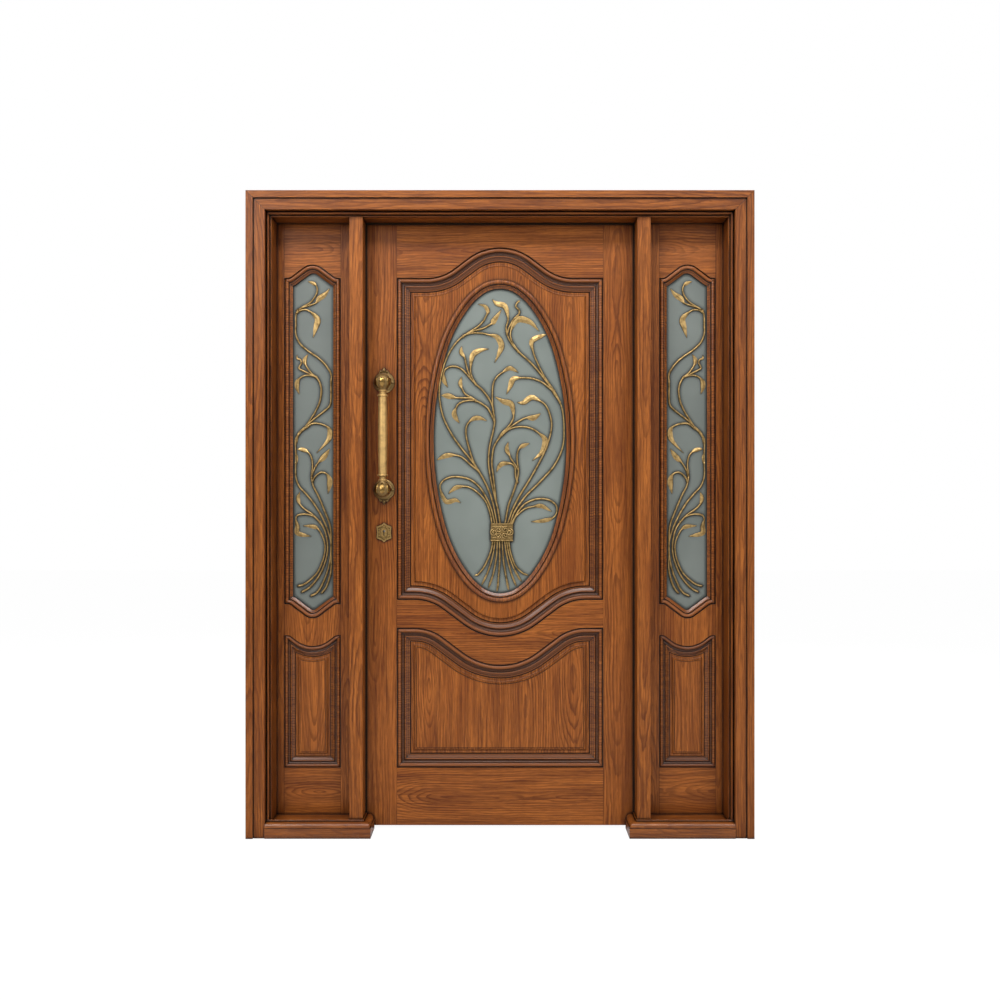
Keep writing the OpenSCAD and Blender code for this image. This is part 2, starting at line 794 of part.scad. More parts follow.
module frame_screws() {
  color(BRASS) {
    for (z = HINGE_Z) for (s = HINGE_SCREWS)
      translate([hinge_x + 0.2, s[0], z + s[1]]) rotate([0, 90, 0]) screw();
    for (z = STRIKE_SCREWS)
      translate([-rebate_x, mid, z]) rotate([0, -90, 0]) screw();
  }
}

module leaf_screws() {
  color(BRASS) {
    for (z = HINGE_Z) for (s = HINGE_SCREWS)
      translate([hinge_x - 0.2, s[0], z + s[1]]) rotate([0, -90, 0]) screw();
    for (z = FOREND_SCREWS)
      translate([-leaf_x, mid, z]) rotate([0, 90, 0]) screw();
  }
}

// Lock, strike plate and bolt
bolt_z = lock_z + 15;               // underside of the bolt
bolt_l = 60;
strike_t = 2;
strike_w = 28;
strike_z0 = lock_z - 28;
strike_h = 120;
STRIKE_SCREWS = [strike_z0 + 10, strike_z0 + strike_h - 10];
forend_t = 3;
forend_w = 24;
forend_z0 = lock_z - 110;
forend_h = 224;
FOREND_SCREWS = [forend_z0 + 12, forend_z0 + forend_h - 12];
case_z0 = lock_z - 78;
case_h = 160;
case_wall = 2;
key_x = door_x - backset;           // keyhole and pulls
case_end = key_x - 17;
key_r = 4.2;

module strike_plate() {
  color(BRASS)
    difference() {
      translate([-rebate_x - strike_t, mid - strike_w / 2, strike_z0])
        cube([strike_t, strike_w, strike_h]);
      translate([-rebate_x - strike_t - 1, mid - bolt_t / 2 - 1, bolt_z - 1.5])
        cube([strike_t + 2, bolt_t + 2, bolt_h + 3]);
      for (z = STRIKE_SCREWS)
        translate([-rebate_x, mid, z]) rotate([0, -90, 0]) screw_hole(9);
    }
}

module lock_forend() {
  color(BRASS)
    difference() {
      translate([-leaf_x, mid - forend_w / 2, forend_z0])
        cube([forend_t, forend_w, forend_h]);
      translate([-leaf_x - 1, mid - bolt_t / 2 - bolt_play, bolt_z - bolt_play])
        cube([forend_t + 2, bolt_t + 2 * bolt_play, bolt_h + 2 * bolt_play]);
      for (z = FOREND_SCREWS)
        translate([-leaf_x, mid, z]) rotate([0, 90, 0]) screw_hole(9);
    }
}

// Keyhole, drawn lay-flat round its own middle
module keyhole() {
  translate([0, 4]) circle(key_r);
  translate([-1.8, -10]) square([3.6, 14]);
}
module keyhole_cut(depth) {
  translate([-key_x, 0, lock_z]) rotate([90, 0, 0])
    translate([0, 0, -depth]) linear_extrude(depth + 20) keyhole();
}

module lock_case() {
  x0 = -leaf_x + forend_t;
  color(STEEL)
    difference() {
      translate([x0, mid - case_t / 2, case_z0])
        cube([-case_end - x0, case_t, case_h]);
      translate([x0 - 1, mid - case_t / 2 + case_wall, case_z0 + case_wall])
        cube([-case_end - x0 + 1 - case_wall, case_t - 2 * case_wall,
          case_h - 2 * case_wall]);
      keyhole_cut(leaf_t);
    }
}

module deadbolt() {
  color(BRASS)
    translate([-leaf_x + 0.2, mid - bolt_t / 2, bolt_z])
      cube([bolt_l, bolt_t, bolt_h]);
}

// Leaf timbers
module timber(right, x0, x1, y0, y1) {
  translate([right ? x0 : -x1, y0, 0])
    translate([0, 0, -leaf_t]) cube([x1 - x0, y1 - y0, leaf_t]);
}
module tenons(w, l, y0, y1, play = 0) {
  for (m = [0, 1]) mirror([m, 0, 0])
    translate([w - 5, y0 - play, -mid - tenon_t / 2 - play])
      cube([l + 5 + 2 * play, y1 - y0 + 2 * play, tenon_t + 2 * play]);
}
// A rail between the stiles, cut to the openings above and below it
module rail(w, y0, y1, openings) {
  translate([0, 0, -leaf_t]) linear_extrude(leaf_t)
    difference() {
      translate([-w, y0]) square([2 * w, y1 - y0]);
      for (o = openings) polygon(outline(o, -fit, -fit));
    }
}

TOP_TENON = [upper_z1 + 18, leaf_top - 18];
LOCK_TENON = [lower_z1 + 15, upper_z0 - 15];
BOTTOM_TENON = [floor_gap + 30, lower_z0 - 22];
module leaf_tenons(play) {
  tenons(open_x, tenon_l, TOP_TENON[0], TOP_TENON[1], play);
  tenons(open_x, tenon_l, LOCK_TENON[0], LOCK_TENON[1], play);
  tenons(open_x, tenon_l, BOTTOM_TENON[0], BOTTOM_TENON[1], play);
}

STUD_Z = [pull_z, pull_z + pull_span];
stud_r = 4;
module hinge_stile() {
  color(OAK)
    difference() {
      stand() difference() {
        timber(true, open_x, leaf_x, floor_gap, leaf_top);
        leaf_tenons(fit);
      }
      for (z = HINGE_Z) {
        translate([hinge_x - 0.2 - hinge_t, HINGE_Y0, z - hinge_h / 2])
          cube([hinge_t + 1, leaf_t, hinge_h]);
        for (s = HINGE_SCREWS)
          translate([hinge_x, s[0], z + s[1]])
            rotate([0, -90, 0]) cylinder(r = screw_r + pin_play, h = screw_l + 1);
      }
    }
}

module lock_stile() {
  color(OAK)
    difference() {
      stand() difference() {
        timber(false, open_x, leaf_x, floor_gap, leaf_top);
        leaf_tenons(fit);
      }
      translate([-leaf_x - 1, mid - forend_w / 2, forend_z0])
        cube([forend_t + 1, forend_w, forend_h]);
      translate([-leaf_x, mid - case_t / 2, case_z0])
        cube([leaf_x - case_end + fit, case_t, case_h]);
      for (z = FOREND_SCREWS)
        translate([-leaf_x, mid, z])
          rotate([0, 90, 0]) cylinder(r = screw_r + pin_play, h = screw_l + 1);
      keyhole_cut(leaf_t + 20);
      for (z = STUD_Z)
        translate([-key_x, -1, z])
          rotate([-90, 0, 0]) cylinder(r = stud_r + pin_play, h = leaf_t + 2);
    }
}

module top_rail() {
  color(OAK) stand() {
    rail(open_x, upper_z1 - 1, leaf_top, [UPPER]);
    tenons(open_x, tenon_l, TOP_TENON[0], TOP_TENON[1]);
  }
}
module lock_rail() {
  color(OAK) stand() {
    rail(open_x, lower_z1 - dip_drop - 5, upper_z0, [UPPER, LOWER]);
    tenons(open_x, tenon_l, LOCK_TENON[0], LOCK_TENON[1]);
  }
}
module bottom_rail() {
  color(OAK) stand() {
    rail(open_x, floor_gap, lower_z0, [LOWER]);
    tenons(open_x, tenon_l, BOTTOM_TENON[0], BOTTOM_TENON[1]);
  }
}

module upper_panel() {
  color(OAK) stand() difference() {
    raised_panel(UPPER, field_start, field_h, tongue_h + 1)
      upper_edge_section();
    translate([0, oval_z, -leaf_t]) linear_extrude(leaf_t)
      polygon(oval_outline(oval_hole));
  }
}
module lower_panel() {
  color(OAK_DARK) stand()
    raised_panel(LOWER, low_field, low_field_h, tongue_h + 1)
      lower_edge_section();
}
module upper_moulding() {
  color(OAK_DARK) stand() both_faces()
    tied_frame(UPPER, mould_w, 2, mould_w - 2, -17, -14)
      panel_moulding_section();
}
module lower_moulding() {
  color(OAK_DARK) stand() both_faces()
    tied_frame(LOWER, mould_w, 2, mould_w - 2, -17, -14)
      panel_moulding_section();
}
module oval_moulding() {
  color(OAK_DARK) stand() both_faces() translate([0, oval_z, 0]) {
    for (x = [0, 1]) for (y = [0, 1])
      mirror([x, 0, 0]) mirror([0, y, 0])
        follow(OVAL_PATH, [oval_a, 0], 90) oval_section();
    translate([0, 0, 1 - glass_h]) linear_extrude(3) difference() {
      polygon(oval_outline(oval_hole + 3));
      polygon(oval_outline(oval_ring_w - 3));
    }
  }
}
module oval_glass() {
  color(PANE) stand() translate([0, oval_z, glass_h - leaf_t])
    linear_extrude(glass_t) polygon(oval_outline(glass_lap));
}

// Sidelights, drawn round their own centre line
module side(right) {
  on_side(right) translate([-side_x, 0, 0]) stand() children();
}
SIDE_TOP_TENON = [side_z3 + 18, side_top - 18];
SIDE_MID_TENON = [side_z1 + 15, side_z2 - 15];
SIDE_BOTTOM_TENON = [sill_h + 25, side_z0 - 20];
module side_tenons(play) {
  tenons(side_open_x, side_tenon_l, SIDE_TOP_TENON[0], SIDE_TOP_TENON[1], play);
  tenons(side_open_x, side_tenon_l, SIDE_MID_TENON[0], SIDE_MID_TENON[1], play);
  tenons(side_open_x, side_tenon_l, SIDE_BOTTOM_TENON[0],
    SIDE_BOTTOM_TENON[1], play);
}
module side_stile(right, inner) {
  color(OAK) side(right) difference() {
    timber(inner, side_open_x, side_unit_w / 2, sill_h, side_top);
    side_tenons(fit);
  }
}
module side_top_rail(right) {
  color(OAK) side(right) {
    rail(side_open_x, side_z3 - 1, side_top, [SIDE_GLASS]);
    tenons(side_open_x, side_tenon_l, SIDE_TOP_TENON[0], SIDE_TOP_TENON[1]);
  }
}
module side_mid_rail(right) {
  color(OAK) side(right) {
    rail(side_open_x, side_z1 - side_panel_drop - 5, side_z2,
      [SIDE_GLASS, SIDE_PANEL]);
    tenons(side_open_x, side_tenon_l, SIDE_MID_TENON[0], SIDE_MID_TENON[1]);
  }
}
module side_bottom_rail(right) {
  color(OAK) side(right) {
    rail(side_open_x, sill_h, side_z0, [SIDE_PANEL]);
    tenons(side_open_x, side_tenon_l, SIDE_BOTTOM_TENON[0],
      SIDE_BOTTOM_TENON[1]);
  }
}
module side_glass(right) {
  color(PANE) side(right) translate([0, 0, glass_h - leaf_t])
    linear_extrude(glass_t) polygon(outline(SIDE_GLASS, side_glass_in, side_glass_in));
}
module side_glass_moulding(right) {
  color(OAK_DARK) side(right) both_faces()
    tied_frame(SIDE_GLASS, light_w, 2, light_w - 2, 1 - glass_h, 4 - glass_h)
      light_section();
}
module side_panel(right) {
  color(OAK_DARK) side(right)
    raised_panel(SIDE_PANEL, side_scale * low_field, side_scale * low_field_h,
      side_scale * tongue_h + 1) lower_edge_section(side_scale);
}
module side_panel_moulding(right) {
  color(OAK_DARK) side(right) both_faces()
    tied_frame(SIDE_PANEL, side_scale * mould_w, 2, side_scale * mould_w - 2,
      -17 * side_scale, -14 * side_scale)
      panel_moulding_section(side_scale);
}

// Pulls, drawn lay-flat round the lower fixing
grip_end_r = 14.4;
module ring(z, r, t) {
  translate([0, z, 0]) rotate([-90, 0, 0]) rotate_extrude()
    union() {
      translate([0, -t]) square([r - t, 2 * t]);
      translate([r - t, 0]) circle(t);
    }
}
module turned(z0, z1, r0, r1) {
  translate([0, z0, 0]) rotate([-90, 0, 0])
    cylinder(r1 = r0, r2 = r1, h = z1 - z0);
}
module knob() {
  sphere(r = knob_r);
  turned(8, 31, knob_r - 1.4, 12);
  ring(33, 15, 3);
  turned(30, 52, 11.2, 11.2);
  ring(50, 18.6, 3.4);
}
module grip_bar() {
  z0 = 50;
  z1 = pull_span - 44;
  h = (z1 - z0) / 6;
  for (i = [0 : 5])
    turned(z0 + i * h, z0 + (i + 1) * h,
      grip_end_r + (grip_r - grip_end_r) * sin(30 * i),
      grip_end_r + (grip_r - grip_end_r) * sin(30 * (i + 1)));
}
// Rose, post and finial of one fixing; the finial points along +y
module rose() {
  cylinder(r1 = rose_r, r2 = rose_r, h = 3);
  translate([0, 0, 3]) cylinder(r1 = rose_r, r2 = rose_r - 5, h = 4);
  translate([0, 0, 6.9]) cylinder(r1 = rose_r - 8, r2 = 15, h = 7);
  cylinder(r = 13, h = pull_reach);
  linear_extrude(4) polygon([
    [-20, 28], [-15, 40], [-7, 41], [0, 53], [7, 41], [15, 40], [20, 28]
  ]);
  translate([0, 42, 5.4]) sphere(r = 5.2);
  for (x = [-1, 1]) {
    translate([x * 10.5, 38, 4.6]) sphere(r = 4.4);
    translate([x * (rose_r - 6), 0, 7]) sphere(r = 6);
  }
}
module pull() {
  difference() {
    union() {
      translate([0, pull_span, 0]) rose();
      mirror([0, 1, 0]) rose();
      translate([0, 0, pull_reach]) {
        knob();
        translate([0, pull_span, 0]) mirror([0, 1, 0]) knob();
        grip_bar();
      }
    }
    for (y = [0, pull_span])
      translate([0, y, -1]) cylinder(r = stud_r + pin_play, h = 31);
  }
}
module pull_pair() {
  translate([-key_x, 0, pull_z]) stand() children();
}
module outer_pull() {
  color(BRASS) pull_pair() pull();
}
module inner_pull() {
  color(BRASS) pull_pair() translate([0, 0, -leaf_t]) mirror([0, 0, 1]) pull();
}
module pull_studs() {
  color(STEEL)
    for (z = STUD_Z)
      translate([-key_x, -29, z])
        rotate([-90, 0, 0]) cylinder(r = stud_r, h = leaf_t + 58);
}

// Escutcheon, drawn lay-flat round the keyhole
ESCUTCHEON = [
  [0, 34], [8, 27], [26, 20], [24, 0], [26, -20], [8, -27],
  [0, -34], [-8, -27], [-26, -20], [-24, 0], [-26, 20], [-8, 27]
];
module escutcheon() {
  difference() {
    union() {
      difference() {
        linear_extrude(6) polygon(ESCUTCHEON);
        translate([0, 0, 2.5]) linear_extrude(6) scale(0.8)
          polygon(ESCUTCHEON);
      }
      for (y = [-6, 6]) translate([0, y, 0]) cylinder(r = 10, h = 8);
      translate([-10, -6, 0]) cube([20, 12, 8]);
      for (x = [-17, 17], y = [-11, 11])
        translate([x, y, 2]) cylinder(r = 2.6, h = 3.4);
    }
    translate([0, 0, -1]) linear_extrude(20) keyhole();
  }
}
module outer_escutcheon() {
  color(BRASS) translate([-key_x, 0, lock_z]) stand() escutcheon();
}
module inner_escutcheon() {
  color(BRASS) translate([-key_x, 0, lock_z]) stand()
    translate([0, 0, -leaf_t]) mirror([0, 0, 1]) escutcheon();
}

// Vines. A stroke is [stem points, blade points, blade width], drawn round
// the middle of its glass. Stems thin out towards the blade.
RING_STEP = 27;
BLADE_STEPS = 2;
function spline(p, i, t) =
  let (
    n = len(p) - 1, a = p[max(i - 1, 0)], b = p[i], c = p[i + 1],
    d = p[min(i + 2, n)]
  )
  0.5 * (2 * b + (c - a) * t + (2 * a - 5 * b + 4 * c - d) * t * t
    + (3 * b - a - 3 * c + d) * t * t * t);
// Places along the stroke: [point index, fraction]
function places(p, stem_n) = concat(
  [for (i = [0 : len(p) - 2])
    let (n = i < stem_n ? max(1, round(norm(p[i + 1] - p[i]) / RING_STEP))
      : BLADE_STEPS)
    for (k = [0 : n - 1]) [i, k / n]],
  [[len(p) - 2, 1]]
);
function ring_w(s, stem_n, last, blade) =
  let (u = (s - stem_n) / (last - stem_n), thin = stem_t / 2)
  u <= 0 ? thin * (1 - 0.3 * s / stem_n) :
  max(0.7, 0.7 * thin * (1 - u) + blade / 2 * pow(sin(180 * pow(u, 0.8)), 0.8));
function ring_t(s, stem_n, last) =
  let (u = (s - stem_n) / (last - stem_n))
  u <= 0 ? stem_t * (0.95 - 0.25 * s / stem_n) : stem_t * (0.7 - 0.4 * u);

module stroke(s, blade_k) {
  p = concat(s[0], s[1]);
  stem_n = len(s[0]) - 1;
  last = len(p) - 1;
  at = places(p, stem_n);
  n = len(at);
  c = [for (q = at) spline(p, q[0], q[1])];
  pts = [for (i = [0 : n - 1])
    let (
      d = c[min(i + 1, n - 1)] - c[max(i - 1, 0)], v = d / norm(d),
      side = [-v[1], v[0]], pos = at[i][0] + at[i][1],
      w = ring_w(pos, stem_n, last, s[2] * blade_k),
      t = ring_t(pos, stem_n, last)
    )
    for (q = [[1, 0], [0.78, 0.62], [0, 1], [-0.78, 0.62], [-1, 0]])
      [c[i][0] + side[0] * w * q[0], c[i][1] + side[1] * w * q[0], t * q[1]]];
  faces = concat(
    [[0, 1, 2, 3, 4]],
    [for (i = [0 : n - 2]) for (j = [0 : 4])
      let (a = i * 5 + j, b = i * 5 + (j + 1) % 5) each
      [[a, a + 5, b + 5], [a, b + 5, b]]],
    [[for (j = [4 : -1 : 0]) (n - 1) * 5 + j]]
  );
  polyhedron(points = pts, faces = faces, convexity = 8);
}
module knot(p, r) {
  hull()
    for (m = [-1, 1]) translate([p[0], p[1] + m * r * 0.5, 0])
      cylinder(r1 = r, r2 = r * 0.45, h = stem_t, $fn = 8);
}
// The blades are wider than the stems, so they keep further in.
BLADE_ROOM = 5;
function fitted(s, f, reach) = [
  for (g = [0, 1]) let (r = reach - g * BLADE_ROOM) [for (p = s[g])
    [max(-r, min(r, p[0] * f[0])), p[1] * f[1]]]
];
module vine(strokes, knots, f, reach) {
  translate([0, 0, -glass_h]) {
    for (s = strokes)
      stroke(concat(fitted(s, f, reach), [s[2]]), vine_leaf_w / 24);
    for (k = knots)
      knot([max(-reach, min(reach, k[0] * f[0])), k[1] * f[1]], stem_t * 0.72);
  }
}

OVAL_STROKES = [
  [[[-24, -300], [-29, -286], [-35, -253], [-50, -213], [-76, -184],
    [-104, -165], [-130, -160]], [[-158, -166], [-182, -186]], 15],
  [[[-17, -300], [-20, -286], [-29, -245], [-47, -202], [-72, -163],
    [-104, -137], [-140, -127], [-173, -127], [-202, -141], [-212, -166]],
    [[-191, -213], [-158, -209], [-139, -218]], 17],
  [[[-9, -300], [-12, -286], [-19, -245], [-32, -195], [-53, -145],
    [-76, -105], [-104, -65], [-133, -29], [-169, 21], [-198, 79],
    [-212, 136], [-214, 187], [-205, 241], [-187, 295], [-162, 338],
    [-130, 370], [-97, 381], [-61, 380], [-40, 375]],
    [[-11, 367], [5, 338], [-4, 309], [-19, 277]], 22],
  [[[-130, 370], [-104, 387], [-79, 403], [-58, 424], [-47, 446]],
    [[-43, 460], [-54, 476], [-77, 483]], 14],
  [[[-130, 370], [-97, 387], [-61, 397], [-32, 413]],
    [[-22, 424], [5, 464]], 20],
  [[[-76, -105], [-94, -73], [-108, -29], [-119, 14], [-119, 50],
    [-108, 68]], [[-90, 80], [-68, 80], [-47, 71]], 16],
  [[[-76, -105], [-104, -83], [-133, -58], [-158, -50]],
    [[-191, -52], [-222, -67]], 18],
  [[[0, -300], [-1, -286], [-7, -245], [-19, -195], [-32, -137], [-40, -80],
    [-37, -22], [-24, 35], [-19, 71], [-24, 107], [-27, 151], [-24, 201],
    [-11, 226], [11, 244]], [[36, 257], [65, 241]], 15],
  [[[-20, 71], [-36, 104], [-50, 122], [-86, 142], [-119, 142],
    [-144, 133], [-155, 118]], [[-162, 97], [-155, 79], [-143, 64]], 18],
  [[[-86, 142], [-97, 151], [-126, 152], [-155, 153]],
    [[-184, 159], [-207, 161]], 20],
  [[[-86, 142], [-101, 154], [-122, 165], [-135, 187]],
    [[-140, 205], [-135, 226]], 14],
  [[[-24, 107], [-27, 125], [-40, 151], [-61, 179], [-86, 201],
    [-112, 230], [-137, 255], [-166, 264], [-191, 255], [-199, 237]],
    [[-198, 215], [-185, 190]], 16],
  [[[-86, 201], [-101, 230], [-104, 259]],
    [[-97, 302], [-72, 320], [-40, 325]], 20],
  [[[-104, 223], [-108, 233], [-119, 266], [-125, 295]],
    [[-137, 313], [-135, 334]], 14],
  [[[-14, -215], [-24, -123], [-29, -80], [-24, -29], [-11, -1], [7, 21],
    [36, 43], [76, 51], [112, 44], [137, 28]],
    [[158, 7], [158, -19], [144, -44], [114, -69]], 24],
  [[[-4, 10], [7, 28], [29, 50], [43, 71], [48, 89]],
    [[40, 129], [11, 140], [-17, 156]], 22],
  [[[7, 21], [22, 37], [47, 57], [76, 75], [94, 82]],
    [[119, 82], [143, 97]], 20],
  [[[16, -300], [19, -286], [29, -231], [47, -181], [58, -145], [65, -109],
    [61, -73], [61, -44], [68, -26]], [[83, -16], [104, -9]], 14],
  [[[61, -145], [55, -123], [53, -94], [40, -80]],
    [[11, -80], [-4, -91], [-12, -110]], 16],
  [[[62, -101], [58, -90], [40, -65], [34, -51]],
    [[24, -29], [29, -4]], 15],
  [[[24, -300], [29, -286], [43, -245], [68, -195], [104, -137],
    [144, -65], [169, -8], [182, 50], [176, 93], [162, 125], [144, 140]],
    [[112, 154], [83, 136], [61, 136]], 20],
  [[[30, -300], [37, -286], [54, -245], [90, -195], [140, -145],
    [191, -87], [221, -22], [226, 43], [222, 100], [212, 136], [191, 176],
    [155, 230], [130, 280], [117, 316]],
    [[112, 352], [144, 370], [164, 376]], 18],
  [[[212, 136], [184, 179], [155, 222], [112, 273], [65, 316], [40, 345],
    [25, 377], [22, 403], [29, 431]],
    [[18, 475], [-11, 485], [-27, 500]], 20],
  [[[65, 316], [55, 330], [40, 356], [38, 388]],
    [[61, 428], [104, 421], [138, 388]], 24],
  [[[25, 377], [32, 399], [47, 428], [68, 449], [66, 464], [55, 475],
    [61, 489]], [[66, 493], [71, 496]], 5],
  [[[191, 176], [176, 186], [148, 208], [112, 221], [76, 223]],
    [[47, 219], [36, 194], [23, 166]], 20],
  [[[34, -300], [43, -284], [61, -260], [90, -238], [119, -231]],
    [[148, -230], [182, -249]], 15],
  [[[38, -300], [48, -282], [61, -253], [90, -220], [133, -204],
    [173, -208], [198, -227], [200, -253], [187, -271]],
    [[155, -281], [110, -285]], 14],
  [[[-24, -343], [-32, -389], [-54, -440], [-76, -469]],
    [[-84, -473], [-90, -474]], 5],
  [[[-17, -343], [-24, -397], [-40, -454]], [[-58, -494], [-65, -508]], 5],
  [[[-10, -343], [-12, -404], [-24, -469]], [[-36, -505], [-41, -519]], 5],
  [[[-2, -343], [-1, -418], [-5, -476]], [[-9, -519], [-12, -531]], 5],
  [[[7, -343], [12, -418], [21, -476]], [[28, -515], [31, -526]], 5],
  [[[15, -343], [24, -404], [38, -461]], [[53, -501], [58, -512]], 5],
  [[[22, -343], [31, -397], [48, -447]], [[68, -485], [77, -496]], 5],
  [[[30, -343], [36, -389], [54, -440], [79, -465]],
    [[90, -471], [101, -474]], 5]
];
OVAL_KNOTS = [
  [-76, -105], [-130, 370], [-20, 71], [-86, 142], [-24, 107], [-86, 201],
  [7, 21], [61, -145], [212, 136], [65, 316], [25, 377], [191, 176]
];

SIDE_STROKES = [
  [[[73, 211], [63, 238], [40, 273], [11, 299], [-19, 319], [-48, 346],
    [-65, 378], [-73, 413], [-71, 437], [-57, 460], [-36, 475], [-12, 489],
    [6, 510], [14, 533], [10, 549]], [[-1, 558], [-19, 564]], 12],
  [[[-54, 463], [-36, 473], [-12, 480], [8, 488]],
    [[20, 504], [40, 518], [60, 539]], 20],
  [[[-64, 449], [-50, 460], [-30, 465], [-10, 457]],
    [[14, 431], [8, 401], [-1, 366]], 22],
  [[[73, 211], [75, 185], [70, 156], [58, 126], [34, 103], [6, 82],
    [-23, 56], [-53, 27], [-68, -8], [-72, -40]],
    [[-73, -58], [-73, -77]], 5],
  [[[11, 226], [22, 208], [28, 179], [22, 138], [6, 103], [-12, 74],
    [-29, 50], [-53, 21]], [[-61, 10], [-66, -6]], 5],
  [[[11, 226], [-7, 232], [-30, 232], [-48, 223]],
    [[-62, 208], [-58, 188], [-50, 167]], 18],
  [[[11, 226], [-7, 240], [-26, 267]], [[-31, 287], [-20, 307]], 14],
  [[[11, 226], [-30, 246], [-51, 258], [-42, 276], [-45, 287]],
    [[-58, 293], [-67, 305]], 5],
  [[[-29, 44], [-6, 62], [22, 62], [46, 53]],
    [[61, 39], [64, 17], [46, -4], [11, -41]], 20],
  [[[-56, -510], [-38, -507], [-12, -490], [18, -457], [38, -405],
    [41, -364], [32, -335], [18, -311]], [[0, -301], [-36, -298]], 14],
  [[[-42, -532], [-12, -514], [23, -470], [46, -411], [50, -364],
    [41, -317], [23, -285], [0, -264], [-29, -257], [-56, -261],
    [-66, -276]], [[-68, -299], [-57, -323], [-29, -332], [-8, -335]], 18],
  [[[23, -285], [15, -276], [-6, -256], [-29, -241], [-47, -223]],
    [[-54, -200], [-47, -179]], 13],
  [[[-10, -546], [18, -528], [46, -470], [60, -411], [62, -358],
    [50, -311], [29, -264], [0, -217], [-29, -182], [-50, -159],
    [-67, -124], [-73, -77], [-72, -30], [-62, 11], [-32, 44]],
    [[-22, 55], [-15, 68]], 5],
  [[[28, -536], [46, -512], [64, -457], [68, -393], [66, -335],
    [58, -294], [40, -247], [18, -194], [0, -159], [-6, -133],
    [-6, -112], [-3, -89], [-6, -59], [-18, -39]],
    [[-38, -29], [-63, -27]], 14],
  [[[-6, -124], [-3, -112], [6, -92], [18, -74]],
    [[38, -54], [60, -27]], 20],
  [[[-3, -144], [0, -134], [12, -118], [29, -109], [47, -115]],
    [[63, -136], [56, -159], [51, -185]], 20]
];
SIDE_KNOTS = [
  [73, 211], [-56, 461], [11, 226], [-29, 46], [-53, 24], [23, -285],
  [-6, -128], [-71, -77]
];

// The stems of the oval meet in a block that the collar binds
HUB = [-28, -350, 69, 56];
module oval_vine() {
  color(BRASS) stand() translate([0, oval_z, 0]) {
    f = [oval_w / 529, oval_h / 1135];
    vine(OVAL_STROKES, OVAL_KNOTS, f, oval_a - oval_ring_w - stem_t / 2 - 0.5);
    translate([HUB[0] * f[0], HUB[1] * f[1], -glass_h])
      cube([HUB[2] * f[0], HUB[3] * f[1], stem_t]);
  }
}
module side_vine(right) {
  f = [side_open_x / 99.5, side_glass_h / 1146];
  color(BRASS) side(right) translate([0, (side_z2 + side_z3) / 2, 0])
    vine(SIDE_STROKES, SIDE_KNOTS, f,
      side_open_x - light_w - 9.2);
}

module vine_collar() {
  fx = oval_w / 529;
  fy = oval_h / 1135;
  x0 = HUB[0] * fx;
  y0 = HUB[1] * fy;
  w = HUB[2] * fx;
  h = HUB[3] * fy;
  color(BRASS) stand() translate([0, oval_z, -glass_h]) {
    translate([x0 - 4, y0 - 3, stem_t]) cube([w + 8, h + 6, 4]);
    for (y = [y0 - 1, y0 + h + 1])
      translate([x0 - 4, y, stem_t + 4]) rotate([0, 90, 0]) cylinder(r = 2.4, h = w + 8);
    for (k = [0.2, 0.5, 0.8])
      translate([x0 + k * w, y0 + h / 2, stem_t + 3.5])
        rotate_extrude() translate([8, 0]) circle(2.2);
  }
}

jamb(false);  // jamb_left
jamb(true);  // jamb_right
head_jamb();
mullion(false);  // mullion_left
mullion(true);  // mullion_right
casing_side(false);  // casing_left
casing_side(true);  // casing_right
casing_head();
sill(false);  // sill_left
sill(true);  // sill_right
door_seal();
strike_plate();
frame_screws();
hinge_leaves(false);  // hinge_frame_leaves
hinge_pins();
side_stile(false, false);  // left_outer_stile
side_stile(false, true);  // left_inner_stile
side_top_rail(false);  // left_top_rail
side_mid_rail(false);  // left_mid_rail
side_bottom_rail(false);  // left_bottom_rail
side_glass(false);  // left_glass
side_glass_moulding(false);  // left_glass_moulding
side_vine(false);  // left_vine
side_panel(false);  // left_panel
side_panel_moulding(false);  // left_panel_moulding
side_stile(true, false);  // right_outer_stile
side_stile(true, true);  // right_inner_stile
side_top_rail(true);  // right_top_rail
side_mid_rail(true);  // right_mid_rail
side_bottom_rail(true);  // right_bottom_rail
side_glass(true);  // right_glass
side_glass_moulding(true);  // right_glass_moulding
side_vine(true);  // right_vine
side_panel(true);  // right_panel
side_panel_moulding(true);  // right_panel_moulding
hinge_stile();
lock_stile();
top_rail();
lock_rail();
bottom_rail();
upper_panel();
lower_panel();
upper_moulding();
lower_moulding();
oval_moulding();
oval_glass();
oval_vine();
vine_collar();
hinge_leaves(true);  // hinge_door_leaves
leaf_screws();
outer_pull();
inner_pull();
pull_studs();
outer_escutcheon();
inner_escutcheon();
lock_case();
lock_forend();
deadbolt();
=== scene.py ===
import math
import random

